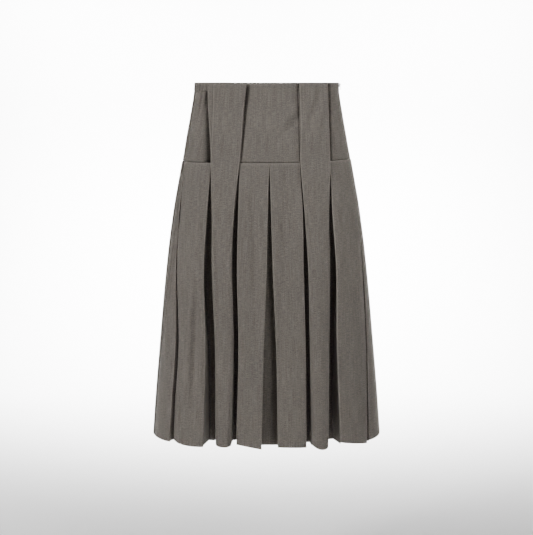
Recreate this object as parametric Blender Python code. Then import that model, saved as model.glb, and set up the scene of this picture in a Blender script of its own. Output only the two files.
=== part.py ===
"""Pleated maxi skirt with a long fitted yoke, as it hangs filled out from the waist.

Metres, +Z up. The front faces -Y and the wearer's left is +X. The origin is the centre of the
waist opening, level with its top edge, and the cloth hangs below it. In the names, _l and _r are
the sides as seen from the front, so _l is at -X and _r at +X.
"""
import math
from collections import namedtuple
from functools import lru_cache

import bmesh
import bpy
import numpy as np
from mathutils import Vector

# Overall sizes
WALL = 0.0012
SEAM_GAP = 0.0003
HIP_Z = -0.188
HEM_Z = -0.858
SQUARENESS = 2.3
SIDE_SEAM_SHARE = 0.98

# The garment's outline, a row for each level
Level = namedtuple("Level", "z half_width front_depth back_depth")
PROFILE = [
    Level(0.000, 0.1730, 0.062, 0.068),
    Level(-0.030, 0.1750, 0.065, 0.073),
    Level(-0.085, 0.1845, 0.074, 0.086),
    Level(-0.130, 0.1930, 0.084, 0.099),
    Level(-0.188, 0.2030, 0.095, 0.110),
    Level(-0.300, 0.2245, 0.112, 0.123),
    Level(-0.400, 0.2390, 0.123, 0.131),
    Level(-0.520, 0.2520, 0.134, 0.138),
    Level(-0.650, 0.2640, 0.143, 0.145),
    Level(-0.755, 0.2735, 0.149, 0.150),
    Level(-0.862, 0.2815, 0.153, 0.153),
]

# Where each front pleat opens: its centre across the front, its width, its depth at the hem,
# how far its right wall leans out to the left there, and its longest run back under a panel
Opening = namedtuple("Opening", "centres widths depth lean longest")
UPPER_LEVELS = (0.0, -0.060, -0.120)
PLEAT_LEVELS = (-0.188, -0.313, -0.435, -0.626, -0.842)
FRONT_PLEATS = {
    "side_l": Opening(
        centres=(-0.1935, -0.2089, -0.2163, -0.2158, -0.2340),
        widths=(0.6, 2.6, 4.0, 9.3, 10.0), depth=0.018, lean=0.009, longest=0.005),
    "long_l_outer": Opening(
        centres=(-0.1299, -0.1352, -0.1394, -0.1347, -0.1376),
        widths=(0.6, 11.7, 18.4, 21.8, 28.2), depth=0.045, lean=0.0, longest=0.040),
    "long_l_inner": Opening(
        centres=(-0.0629, -0.0724, -0.0759, -0.0731, -0.0794),
        widths=(0.6, 10.8, 12.0, 12.0, 12.8), depth=0.042, lean=0.0, longest=0.040),
    "centre": Opening(
        centres=(0.0066, 0.0068, 0.0074, 0.0082, 0.0076),
        widths=(0.6, 8.4, 14.3, 29.6, 38.4), depth=0.030, lean=0.0, longest=0.040),
    "long_r_inner": Opening(
        centres=(0.0789, 0.0881, 0.0934, 0.0985, 0.1024),
        widths=(0.6, 4.9, 11.6, 11.1, 13.6), depth=0.032, lean=0.0, longest=0.040),
    "long_r_outer": Opening(
        centres=(0.1489, 0.1525, 0.1587, 0.1604, 0.1652),
        widths=(0.6, 9.4, 15.4, 19.1, 29.4), depth=0.044, lean=0.0, longest=0.022),
    "side_r": Opening(
        centres=(0.1990, 0.2205, 0.2318, 0.2425, 0.2478),
        widths=(0.6, 3.0, 8.0, 8.5, 9.2), depth=0.014, lean=0.0, longest=0.010),
}
# The four openings beside the long pleats run on up to the waist, closed
ABOVE_HIP = {
    "long_l_outer": (-0.1231, -0.1243, -0.1263),
    "long_l_inner": (-0.0462, -0.0530, -0.0573),
    "long_r_inner": (0.0762, 0.0787, 0.0793),
    "long_r_outer": (0.1436, 0.1471, 0.1485),
}
FRONT_ORDER = tuple(FRONT_PLEATS)

# Back pleats, from the wearer's left side round to the right
BackPleat = namedtuple("BackPleat", "name share width depth")
BACK_PLEATS = [
    BackPleat("back_1", 0.100, 14.0, 0.026),
    BackPleat("back_2", 0.233, 20.0, 0.034),
    BackPleat("back_3", 0.367, 13.0, 0.030),
    BackPleat("back_4", 0.500, 24.0, 0.036),
    BackPleat("back_5", 0.633, 16.0, 0.030),
    BackPleat("back_6", 0.767, 19.0, 0.034),
    BackPleat("back_7", 0.900, 13.0, 0.026),
]

# Each panel follows the pleat of the same row. How its edges, its twist and its middle stand at the
# hem, and how far its hem hangs below the level at its left, middle and right, in millimetres
Panel = namedtuple("Panel", "name setback twist bulge left middle right")
PANELS = [
    Panel("front_1", 2.0, 2.0, 1.0, -2.0, 3.0, 2.0),
    Panel("long_l", 12.0, 0.0, 2.0, -4.0, 0.0, -2.0),
    Panel("front_3", 4.0, 8.0, -3.0, -5.0, -1.0, 2.0),
    Panel("front_4", 3.0, 0.0, 0.0, -1.0, 0.0, 1.0),
    Panel("long_r", 12.0, 0.0, 6.0, -4.0, 6.0, 2.0),
    Panel("front_6", 3.0, 2.0, 0.0, -5.0, 1.0, 6.0),
    Panel("side_r", 2.0, 0.0, 0.0, 1.0, -1.0, 0.0),
    Panel("back_1", 3.0, 2.0, 2.0, 1.0, 3.0, -1.0),
    Panel("back_2", 6.0, -3.0, 3.0, -2.0, 2.0, 1.0),
    Panel("back_3", 3.0, 3.0, 0.0, 2.0, 0.0, -2.0),
    Panel("back_4", 4.0, -2.0, 2.0, -1.0, 4.0, 2.0),
    Panel("back_5", 7.0, 2.0, 3.0, 0.0, -2.0, 3.0),
    Panel("back_6", 3.0, -3.0, 0.0, 3.0, 1.0, -1.0),
    Panel("side_l", 2.0, 0.0, 0.0, 0.0, -1.0, 2.0),
]
PANEL_SHARES = (0.0, 0.12, 0.35, 0.65, 0.88, 1.0)
PART_SHARES = (0.0, 0.12, 0.3, 0.5, 0.75, 1.0)
MM = 0.001
RING_SAMPLES = 2881
RING_REACH = 0.002

# How a pressed pleat is folded: three layers of cloth at the hip, opening downwards
FOLD = 2 * WALL + 0.0004
NIP = 0.0006
PRESSED_DEPTH = FOLD + NIP
DEPTH_SLACK = 1.04
LEAST_RETURN = 0.0012
LEAN_RUN = 0.010
BENT_PLEATS = (1, 2, 4, 5)
LOWER_LEVEL = 0.001
LONG_LEVEL = 0.0056
LEVEL_FADE = 0.25

# The left long pleat shows a wedge of its inner layer, widest at the waist, and its right edge lifts
WEDGE = (0.0170, 0.0135, 0.0075, 0.0)
LIFT_L, LIFT_R = 0.0050, 0.0015

# Waist edge: the front centre is cut a little lower than the casing behind it, and climbs to the zip
FRONT_TOP_Z = -0.005
FRONT_TOP_CLIMB = 0.004
CASING_HEIGHT = 0.020
CASING_GATHERS = 58
COLUMNS_PER_GATHER = 2
Gather = namedtuple("Gather", "z depth")
CASING_ROWS = (Gather(0.0, 0.0018), Gather(-CASING_HEIGHT / 2, 0.0026), Gather(-CASING_HEIGHT, 0.0021))
SIDE_WAVES, BACK_WAVES = 9, 29
CENTRE_COLUMNS, SIDE_COLUMNS = 14, 12
YOKE_RIPPLE = 0.0022
RIPPLE_END_Z = -0.105
FLAT_END = 0.0125
RIPPLE_FADE = 0.010

# The hip seam climbs a little towards the wearer's left side
SEAM_RISE = 0.006
RISE_FROM, RISE_TO = 0.08, 0.20

YOKE_ROWS = (-0.045, -0.078, -0.110, -0.150, HIP_Z)
LONG_ROWS = (-0.045, -0.090, -0.140, HIP_Z)
SKIRT_ROWS = (0.0, 0.03, 0.10, 0.20, 0.34, 0.50, 0.67, 0.84, 1.0)

# Concealed zip in the left side seam
ZIP_Y = 0.0
TAPE_HALF_WIDTH = 0.011
TAPE_TOP_Z, TAPE_END_Z = -0.003, -0.176
TAPE_STANDOFF = 0.0004
TAPE_SHARES = (-1.0, -0.66, -0.33, 0.0, 0.33, 0.66, 1.0)
SLIDER_TOP_Z, SLIDER_LENGTH, SLIDER_WIDTH, SLIDER_THICK = -0.0010, 0.0095, 0.0050, 0.0014
SLIDER_STANDOFF, CHAMFER = 0.0004, 0.0006
BRIDGE_WIDTH, BRIDGE_THICK, BRIDGE_ROOM = 0.0016, 0.0009, 0.0022
BRIDGE_TOP, BRIDGE_FOOT, BRIDGE_ROOT, HINGE_DROP = 0.0009, 0.0058, 0.0003, 0.0033
PULL_LENGTH, PULL_WIDTH, PULL_THICK = 0.0140, 0.0050, 0.0010
PULL_WAIST_Z, PULL_WAIST_SHARE, PULL_FOOT_SHARE, PULL_CORNER = -0.0080, 0.8, 0.7, 0.0012
EYE_WIDTH, EYE_LENGTH, EYE_RIM = 0.0030, 0.0056, 0.0010

CLOTH = (0.145, 0.130, 0.110)
TAPE = (0.050, 0.044, 0.038)
DARK_METAL = (0.030, 0.027, 0.024)
METALLIC, METAL_ROUGHNESS = 0.9, 0.4


def clear_scene():
    for thing in list(bpy.data.objects):
        bpy.data.objects.remove(thing, do_unlink=True)


def ease(share):
    """A smooth step from 0 to 1."""
    share = min(max(share, 0.0), 1.0)
    return share * share * (3.0 - 2.0 * share)


def smooth(z, levels, values):
    """A table column read at height z, on a cubic through its rows."""
    down = [-level for level in levels]
    here = min(max(-z, down[0]), down[-1])
    last = len(down) - 2
    row = min(max(int(np.searchsorted(down, here, side="right")) - 1, 0), last)

    def slope(index):
        before, after = max(index - 1, 0), min(index + 1, len(down) - 1)
        return (values[after] - values[before]) / (down[after] - down[before])

    step = down[row + 1] - down[row]
    part = (here - down[row]) / step
    square, cube = part * part, part ** 3
    start = (2 * cube - 3 * square + 1) * values[row] + (cube - 2 * square + part) * step * slope(row)
    end = (3 * square - 2 * cube) * values[row + 1] + (cube - square) * step * slope(row + 1)
    return start + end


@lru_cache(maxsize=None)
def ring(z):
    """The body of the skirt at height z: distance round from the centre front, x and y."""
    levels = [level.z for level in PROFILE]
    half_width = smooth(z, levels, [level.half_width for level in PROFILE])
    front = smooth(z, levels, [level.front_depth for level in PROFILE])
    back = smooth(z, levels, [level.back_depth for level in PROFILE])
    angle = np.linspace(-1.5 * math.pi, 0.5 * math.pi, RING_SAMPLES)
    power = 2.0 / SQUARENESS
    x = half_width * np.sign(np.cos(angle)) * np.abs(np.cos(angle)) ** power
    depth = np.where(np.sin(angle) < 0, front, back)
    y = depth * np.sign(np.sin(angle)) * np.abs(np.sin(angle)) ** power
    round_way = np.concatenate([[0.0], np.cumsum(np.hypot(np.diff(x), np.diff(y)))])
    centre_front = np.interp(-0.5 * math.pi, angle, round_way)
    return round_way - centre_front, x, y


def girth(z):
    round_way = ring(z)[0]
    return round_way[-1] - round_way[0]


def spot(z, way, out=0.0):
    """The point a distance way round the ring from the centre front, moved out by out."""
    round_way, x, y = ring(z)
    whole = round_way[-1] - round_way[0]

    def on_ring(value):
        value = (value - round_way[0]) % whole + round_way[0]
        return np.interp(value, round_way, x), np.interp(value, round_way, y)

    before, here, after = on_ring(way - RING_REACH), on_ring(way), on_ring(way + RING_REACH)
    along = Vector((after[0] - before[0], after[1] - before[1])).normalized()
    return Vector((here[0] + along.y * out, here[1] - along.x * out, z))


def way_at_x(z, x):
    """How far round the front half the ring has reached at x."""
    round_way, ring_x, ring_y = ring(z)
    front = ring_y <= 1e-9
    return float(np.interp(x, ring_x[front], round_way[front]))


def side_way(z, side):
    """Where a side seam lies: the left one a little forward, the right one at the zip."""
    half_width = smooth(z, [level.z for level in PROFILE], [level.half_width for level in PROFILE])
    if side == "l":
        return way_at_x(z, -SIDE_SEAM_SHARE * half_width)
    return way_at_x(z, half_width)


def down_share(z):
    """0 at the hip seam and above, 1 at the hem."""
    return min(max((HIP_Z - z) / (HIP_Z - HEM_Z), 0.0), 1.0)


def pleat_centre(index, z):
    """The distance round to the middle of a pleat's opening."""
    if index < len(FRONT_ORDER):
        name = FRONT_ORDER[index]
        levels, centres = PLEAT_LEVELS, FRONT_PLEATS[name].centres
        if name in ABOVE_HIP:
            levels, centres = UPPER_LEVELS + levels, ABOVE_HIP[name] + centres
        return way_at_x(z, smooth(z, levels, centres))
    pleat = BACK_PLEATS[index - len(FRONT_ORDER)]
    start = side_way(z, "r")
    half_back = girth(z) - 2 * start
    return start + pleat.share * half_back


def pleat_width(index, z):
    """How wide a pleat stands open."""
    least = FRONT_PLEATS["centre"].widths[0]
    if index < len(FRONT_ORDER):
        wide = smooth(z, PLEAT_LEVELS, FRONT_PLEATS[FRONT_ORDER[index]].widths)
        return max(wide, least) * MM
    return (least + (BACK_PLEATS[index - len(FRONT_ORDER)].width - least) * down_share(z)) * MM


def pleat_depth(index, z):
    """How far in the underlay of a pleat lies behind its panels."""
    if index < len(FRONT_ORDER):
        deepest = FRONT_PLEATS[FRONT_ORDER[index]].depth
    else:
        deepest = BACK_PLEATS[index - len(FRONT_ORDER)].depth
    opened = 1.0 - (1.0 - down_share(z)) ** 2
    return PRESSED_DEPTH + (deepest - PRESSED_DEPTH) * opened


def pleat_return(index, z):
    """How far the cloth runs back under a panel: the cloth of a pleat keeps its length."""
    hem_width, depth_at_hem = pleat_width(index, HEM_Z), pleat_depth(index, HEM_Z)
    cloth = 2 * DEPTH_SLACK * depth_at_hem + hem_width
    quarter = (cloth - pleat_width(index, z)) / 2
    depth = pleat_depth(index, z)
    run = max((quarter * quarter - depth * depth) / (2 * quarter), LEAST_RETURN)
    if index < len(FRONT_ORDER):
        run = min(run, FRONT_PLEATS[FRONT_ORDER[index]].longest)
    return run


def panel_level(panel, z):
    """How far a panel's face lies outside the yoke's."""
    start = LONG_LEVEL if panel.name.startswith("long") else LOWER_LEVEL
    return start * (1.0 - ease(down_share(z) / LEVEL_FADE))


def panel_out(panel, share, z):
    """How far out a panel's face stands, share of the way across it."""
    across = 2.0 * share - 1.0
    low = down_share(z)
    rounded = -panel.setback * abs(across) ** 6
    shape = rounded + panel.twist * across + panel.bulge * (1.0 - across * across)
    lift = 0.0
    if z > HIP_Z:
        above = 1.0 - z / HIP_Z
        if panel.name == "long_l":
            lift = LIFT_L * above * max(across, 0.0) ** 2
        if panel.name == "long_r":
            lift = LIFT_R * above * max(-across, 0.0) ** 2
    return panel_level(panel, z) + shape * MM * low + lift


def panel_drop(panel, share):
    """How far a panel's hem hangs below the hem level."""
    across = 2.0 * share - 1.0
    sides = panel.left * across * (across - 1.0) / 2 + panel.right * across * (across + 1.0) / 2
    return (sides + panel.middle * (1.0 - across * across)) * MM


def middle_point(one, two):
    return tuple((a + b) / 2 for a, b in zip(one, two))


def fold_points(index, z):
    """The left and right halves of a pleat's underlay, from the panel edges in to its middle.

    Each point is (way, out, drop). The left half starts at the left panel's edge, and the right
    half starts at the middle.
    """
    left_panel, right_panel = PANELS[index - 1], PANELS[index]
    centre, width = pleat_centre(index, z), pleat_width(index, z)
    depth, back = pleat_depth(index, z), pleat_return(index, z)
    left_out, right_out = panel_out(left_panel, 1.0, z), panel_out(right_panel, 0.0, z)
    shared = ease(down_share(z) / LEVEL_FADE)
    middle_out = (left_out + right_out) / 2
    drop = (panel_drop(left_panel, 1.0) + panel_drop(right_panel, 0.0)) / 2
    lean = 0.0
    if index < len(FRONT_ORDER):
        lean = FRONT_PLEATS[FRONT_ORDER[index]].lean * down_share(z) ** 2
    halves = []
    for side, edge_out, panel, turn in ((-1, left_out, left_panel, 0.0), (1, right_out, right_panel, lean)):
        edge = centre + side * width / 2
        floor = shared * middle_out + (1 - shared) * panel_level(panel, z) - depth
        corner = edge + side * max(back, LEAST_RETURN) - turn * (1 + back / LEAN_RUN)
        end = centre + side * SEAM_GAP / 2
        half = [(edge, edge_out - FOLD, drop), (corner, floor + NIP, drop), (corner, floor, drop)]
        half.append((end, floor, drop))
        if index in BENT_PLEATS:
            half.insert(1, middle_point(half[0], half[1]))
            half.insert(-1, middle_point(half[-2], half[-1]))
        halves.append(half)
    return halves[0], halves[1][::-1]


def panel_points(index, z, first=0.0, last=1.0):
    """Points across a panel, from share first to share last, as (way, out, drop)."""
    panel = PANELS[index]
    after = (index + 1) % len(PANELS)
    start = pleat_centre(index, z) + pleat_width(index, z) / 2
    end = pleat_centre(after, z) - pleat_width(after, z) / 2
    if after == 0:
        end += girth(z)
    if first == 0.0 and last == 1.0:
        shares = PANEL_SHARES
    else:
        parts = PART_SHARES if last < 1.0 else [1.0 - part for part in PART_SHARES[::-1]]
        shares = [first + (last - first) * part for part in parts]
    return [(start + (end - start) * s, panel_out(panel, s, z), panel_drop(panel, s)) for s in shares]


def seam_share(index, z, side):
    """How far across a side panel its side seam lies."""
    start = pleat_centre(index, z) + pleat_width(index, z) / 2
    after = (index + 1) % len(PANELS)
    end = pleat_centre(after, z) - pleat_width(after, z) / 2
    way = side_way(z, side)
    if after == 0:
        end += girth(z)
        way += girth(z)
    return (way - start) / (end - start), SEAM_GAP / 2 / (end - start)


def rise(x):
    return SEAM_RISE * ease((x - RISE_FROM) / (RISE_TO - RISE_FROM))


def thicken(line):
    """The inner face of a wall whose outer face is a line of (way, out), mitred at its corners."""
    places = [Vector((way, out)) for way, out in line]
    steps = [(b - a).normalized() for a, b in zip(places, places[1:])]
    sides = [Vector((step.y, -step.x)) for step in steps]
    inner = []
    for number, place in enumerate(places):
        one = sides[max(number - 1, 0)]
        two = sides[min(number, len(sides) - 1)]
        inner.append(place + (one + two) * WALL / (1.0 + one.dot(two)))
    return inner


def wall_object(name, outer, inner, colour):
    """One closed wall from rows of outer and inner points."""
    rows, columns = len(outer), len(outer[0])
    points = [point for row in outer for point in row] + [point for row in inner for point in row]
    inside = rows * columns

    def at(row, column, face):
        return face * inside + row * columns + column

    faces = []
    for row in range(rows - 1):
        for column in range(columns - 1):
            a, b = at(row, column, 0), at(row, column + 1, 0)
            c, d = at(row + 1, column + 1, 0), at(row + 1, column, 0)
            faces += [(a, d, c), (a, c, b)]
            faces += [(a + inside, c + inside, d + inside), (a + inside, b + inside, c + inside)]
    for row in (0, rows - 1):
        for column in range(columns - 1):
            a, b = at(row, column, 0), at(row, column + 1, 0)
            c, d = at(row, column + 1, 1), at(row, column, 1)
            faces += [(a, b, c), (a, c, d)]
    for column in (0, columns - 1):
        for row in range(rows - 1):
            a, b = at(row, column, 0), at(row + 1, column, 0)
            c, d = at(row + 1, column, 1), at(row, column, 1)
            faces += [(a, b, c), (a, c, d)]
    return mesh_object(name, points, faces, colour)


def mesh_object(name, points, faces, colour, metallic=0.0, roughness=0.85):
    mesh = bpy.data.meshes.new(name)
    mesh.from_pydata([tuple(point) for point in points], [], [tuple(face) for face in faces])
    shape = bmesh.new()
    shape.from_mesh(mesh)
    bmesh.ops.recalc_face_normals(shape, faces=shape.faces)
    shape.to_mesh(mesh)
    shape.free()
    thing = bpy.data.objects.new(name, mesh)
    bpy.context.scene.collection.objects.link(thing)
    paint(thing, colour, metallic, roughness)
    return thing


def paint(thing, colour, metallic, roughness):
    material = bpy.data.materials.new(thing.name)
    material.use_nodes = True
    shader = material.node_tree.nodes["Principled BSDF"]
    shader.inputs["Base Color"].default_value = (*colour, 1.0)
    shader.inputs["Metallic"].default_value = metallic
    shader.inputs["Roughness"].default_value = roughness
    thing.data.materials.append(material)


def pleated_wall(name, line_at, levels):
    """A pleated piece whose section at height z is line_at(z), a list of (way, out, drop)."""
    outer, inner = [], []
    for z in levels:
        line = line_at(z)
        low = down_share(z)
        inside = thicken([(way, out) for way, out, drop in line])
        rows = ([], [])
        for (way, out, drop), (inner_way, inner_out) in zip(line, inside):
            pair = (spot(z, way, out), spot(z, inner_way, inner_out))
            shift = -drop * low ** 3
            if z <= HIP_Z and not name.startswith("long"):
                shift += rise(pair[0].x) * (1.0 - low) ** 6
            for row, point in zip(rows, pair):
                row.append(point + Vector((0, 0, shift)))
        outer.append(rows[0])
        inner.append(rows[1])
    return wall_object(name, outer, inner, CLOTH)


def skirt_levels():
    return [HIP_Z + (HEM_Z - HIP_Z) * share for share in SKIRT_ROWS]


def whole_pleat(index, z):
    """A pleat's folds without the cut in the middle of its underlay."""
    left, right = fold_points(index, z)
    return left[:-1] + right[1:]


def long_pleats():
    """The two front pleats that run from the waist to the hem, lying on the yokes above the hip."""
    for name, outer_index, top in (("long_pleat_l", 1, FRONT_TOP_Z), ("long_pleat_r", 4, -SEAM_GAP)):
        def line_at(z, start=outer_index, left=name.endswith("_l")):
            before = fold_points(start, z)[1]
            after = fold_points(start + 1, z)[0]
            if z > HIP_Z and left:
                shown = smooth(z, UPPER_LEVELS + (HIP_Z,), WEDGE)
                way, out, drop = before[0]
                before[0] = (way - shown, out, drop)
                before[1] = middle_point(before[0], before[2])
            return before + panel_points(start, z) + after

        pleated_wall(name, line_at, [top] + list(LONG_ROWS) + skirt_levels()[1:])


def pleated_skirts():
    """The pleated pieces below the hip seam, seamed inside their pleats and at the sides."""
    def centre(z):
        line = fold_points(2, z)[1] + panel_points(2, z) + whole_pleat(3, z)
        return line + panel_points(3, z) + fold_points(4, z)[0]

    def front_l(z):
        share, gap = seam_share(13, z, "l")
        whole = girth(z)
        side = [(way - whole, out, drop) for way, out, drop in panel_points(13, z, first=share + gap)]
        return side + whole_pleat(0, z) + panel_points(0, z) + fold_points(1, z)[0]

    def front_r(z):
        share, gap = seam_share(6, z, "r")
        line = fold_points(5, z)[1] + panel_points(5, z) + whole_pleat(6, z)
        return line + panel_points(6, z, last=share - gap)

    def back_r(z):
        share, gap = seam_share(6, z, "r")
        line = panel_points(6, z, first=share + gap)
        for index in (7, 8, 9):
            line += whole_pleat(index, z) + panel_points(index, z)
        return line + fold_points(10, z)[0]

    def back_l(z):
        share, gap = seam_share(13, z, "l")
        line = fold_points(10, z)[1] + panel_points(10, z)
        for index in (11, 12):
            line += whole_pleat(index, z) + panel_points(index, z)
        return line + whole_pleat(13, z) + panel_points(13, z, last=share - gap)

    pieces = (("skirt_front_centre", centre), ("skirt_front_l", front_l), ("skirt_front_r", front_r),
              ("skirt_back_r", back_r), ("skirt_back_l", back_l))
    for name, line_at in pieces:
        pleated_wall(name, line_at, skirt_levels())


def under_long_pleat(z, index):
    """The middle of a long pleat's panel, where the yokes beneath it are seamed."""
    return (pleat_centre(index, z) + pleat_centre(index + 1, z)) / 2


def yoke_ends(z):
    """Where the four yokes and the casing start and stop at height z, from the left front round."""
    return {
        "left_seam": side_way(z, "l"),
        "long_l": under_long_pleat(z, 1),
        "long_r": under_long_pleat(z, 4),
        "right_seam": side_way(z, "r"),
        "left_seam_round": side_way(z, "l") + girth(z),
        "long_l_round": under_long_pleat(z, 1) + girth(z),
    }


def ripple(way_from_end, way_to_end, wave, height):
    """How far a gathered wall dips, flat at its two ends."""
    near_end = (min(way_from_end, way_to_end) - FLAT_END) / RIPPLE_FADE
    return -height * ease(near_end) * (1.0 - math.cos(2 * math.pi * wave)) / 2


def yoke_wall(name, start, stop, columns, tops, levels, waves=0.0):
    """A yoke between two ends, its top edge at tops(share) and its foot at the hip seam."""
    outer, inner = [], []
    for number, z in enumerate(levels):
        ends = yoke_ends(z)
        first, last = ends[start] + SEAM_GAP / 2, ends[stop] - SEAM_GAP / 2
        fade = ease((z - RIPPLE_END_Z) / (-CASING_HEIGHT - RIPPLE_END_Z))
        rows = ([], [])
        for column in range(columns + 1):
            share = column / columns
            way = first + (last - first) * share
            dip = ripple(way - first, last - way, waves * share, YOKE_RIPPLE * fade) if waves else 0.0
            for row, depth in zip(rows, (0.0, WALL)):
                point = spot(z, way, dip - depth)
                if number == 0:
                    point.z = tops(share)
                if number == len(levels) - 1:
                    point.z = HIP_Z + SEAM_GAP + rise(spot(z, way).x)
                row.append(point)
        outer.append(rows[0])
        inner.append(rows[1])
    return wall_object(name, outer, inner, CLOTH)


def yokes():
    """The fitted part above the hip seam."""
    under_casing = -CASING_HEIGHT - SEAM_GAP

    def front_top(share):
        return FRONT_TOP_Z + FRONT_TOP_CLIMB * ease(share)

    plain = (FRONT_TOP_Z, under_casing) + YOKE_ROWS
    gathered = (under_casing,) + YOKE_ROWS
    yoke_wall("yoke_front", "long_l", "long_r", CENTRE_COLUMNS, front_top, plain)
    yoke_wall("yoke_side_front_r", "long_r", "right_seam", SIDE_COLUMNS, lambda share: -SEAM_GAP, plain)
    yoke_wall("yoke_side_front_l", "left_seam", "long_l", 2 * SIDE_WAVES, lambda share: under_casing,
              gathered, SIDE_WAVES)
    yoke_wall("yoke_back", "right_seam", "left_seam_round", 2 * BACK_WAVES, lambda share: under_casing,
              gathered, BACK_WAVES)


def waist_casing():
    """The elasticated casing, gathered all the way from the zip round the back to the left front."""
    outer, inner = [], []
    columns = CASING_GATHERS * COLUMNS_PER_GATHER
    for z, depth_of_gather in CASING_ROWS:
        ends = yoke_ends(z)
        first, last = ends["right_seam"] + SEAM_GAP / 2, ends["long_l_round"] - SEAM_GAP / 2
        rows = ([], [])
        for column in range(columns + 1):
            way = first + (last - first) * column / columns
            dip = ripple(way - first, last - way, column / COLUMNS_PER_GATHER, depth_of_gather)
            for row, depth in zip(rows, (0.0, WALL)):
                row.append(spot(z, way, dip - depth))
        outer.append(rows[0])
        inner.append(rows[1])
    return wall_object("waist_elastic", outer, inner, CLOTH)


def zip_tape():
    """The closed tapes of the zip, lying inside the side seam."""
    outer, inner = [], []
    for z in (TAPE_TOP_Z, -CASING_HEIGHT / 2, -CASING_HEIGHT) + YOKE_ROWS[:-1] + (TAPE_END_Z,):
        middle = side_way(z, "r")
        rows = ([], [])
        for share in TAPE_SHARES:
            for row, depth in zip(rows, (WALL + TAPE_STANDOFF, 2 * WALL + TAPE_STANDOFF)):
                row.append(spot(z, middle + share * TAPE_HALF_WIDTH, -depth))
        outer.append(rows[0])
        inner.append(rows[1])
    return wall_object("zip_tape", outer, inner, TAPE)


def prism(name, outline, half_width):
    """A solid with an outline in X and Z, as wide as two half widths along Y about the zip."""
    count = len(outline)
    points = [(x, ZIP_Y - half_width, z) for x, z in outline]
    points += [(x, ZIP_Y + half_width, z) for x, z in outline]
    faces = [tuple(range(count)), tuple(range(2 * count - 1, count - 1, -1))]
    faces += [(i, i + count, (i + 1) % count + count, (i + 1) % count) for i in range(count)]
    return mesh_object(name, points, faces, DARK_METAL, METALLIC, METAL_ROUGHNESS)


def combine(thing, other, operation):
    change = thing.modifiers.new(operation.lower(), "BOOLEAN")
    change.operation = operation
    change.object = other
    other.hide_render = True
    other.display_type = "WIRE"


def zip_runner():
    """The slider on the closed seam, and the pull tab that hangs from its bridge."""
    wall_x = spot(SLIDER_TOP_Z - SLIDER_LENGTH, side_way(SLIDER_TOP_Z - SLIDER_LENGTH, "r")).x
    seat = wall_x + SLIDER_STANDOFF
    face = seat + SLIDER_THICK
    top, foot = SLIDER_TOP_Z, SLIDER_TOP_Z - SLIDER_LENGTH
    body = [(seat, foot), (face - CHAMFER, foot), (face, foot + CHAMFER), (face, top - CHAMFER),
            (face - CHAMFER, top), (seat, top)]
    slider = prism("zip_slider", body, SLIDER_WIDTH / 2)
    inner_x, outer_x = face + BRIDGE_ROOM, face + BRIDGE_ROOM + BRIDGE_THICK
    high, low = top - BRIDGE_TOP, top - BRIDGE_FOOT
    root = face - BRIDGE_ROOT
    bridge = [(root, high), (outer_x - CHAMFER, high), (outer_x, high - CHAMFER),
              (outer_x, low + CHAMFER), (outer_x - CHAMFER, low), (root, low),
              (root, low + BRIDGE_THICK), (inner_x, low + BRIDGE_THICK),
              (inner_x, high - BRIDGE_THICK), (root, high - BRIDGE_THICK)]
    combine(slider, prism("bridge_guide", bridge, BRIDGE_WIDTH / 2), "UNION")

    pivot = Vector((face + BRIDGE_ROOM / 2, ZIP_Y, top - HINGE_DROP))
    hinge = bpy.data.objects.new("zip_hinge", None)
    hinge.location = pivot
    bpy.context.scene.collection.objects.link(hinge)
    end, half = PULL_THICK / 2 - PULL_LENGTH, PULL_WIDTH / 2
    waist, foot_half = half * PULL_WAIST_SHARE, half * PULL_FOOT_SHARE
    outline = [(-half, PULL_THICK / 2), (half, PULL_THICK / 2), (waist, PULL_WAIST_Z),
               (half, end + PULL_CORNER), (foot_half, end), (-foot_half, end), (-half, end + PULL_CORNER),
               (-waist, PULL_WAIST_Z)]
    pull = plate("zip_pull", outline)
    eye_top = PULL_THICK / 2 - EYE_RIM
    eye_half = EYE_WIDTH / 2
    eye = plate("eye_guide", [(-eye_half, eye_top), (eye_half, eye_top), (eye_half, eye_top - EYE_LENGTH),
                              (-eye_half, eye_top - EYE_LENGTH)], 2 * PULL_THICK)
    combine(pull, eye, "DIFFERENCE")
    for thing in (pull, eye):
        thing.parent = hinge


def plate(name, outline, thick=PULL_THICK):
    """A flat plate with an outline in Y and Z, about its own hinge line."""
    count = len(outline)
    points = [(-thick / 2, y, z) for y, z in outline] + [(thick / 2, y, z) for y, z in outline]
    faces = [tuple(range(count)), tuple(range(2 * count - 1, count - 1, -1))]
    faces += [(i, i + count, (i + 1) % count + count, (i + 1) % count) for i in range(count)]
    return mesh_object(name, points, faces, DARK_METAL, METALLIC, METAL_ROUGHNESS)


clear_scene()
yokes()
waist_casing()
long_pleats()
pleated_skirts()
zip_tape()
zip_runner()
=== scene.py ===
import math
from collections import namedtuple
from functools import lru_cache

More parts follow.
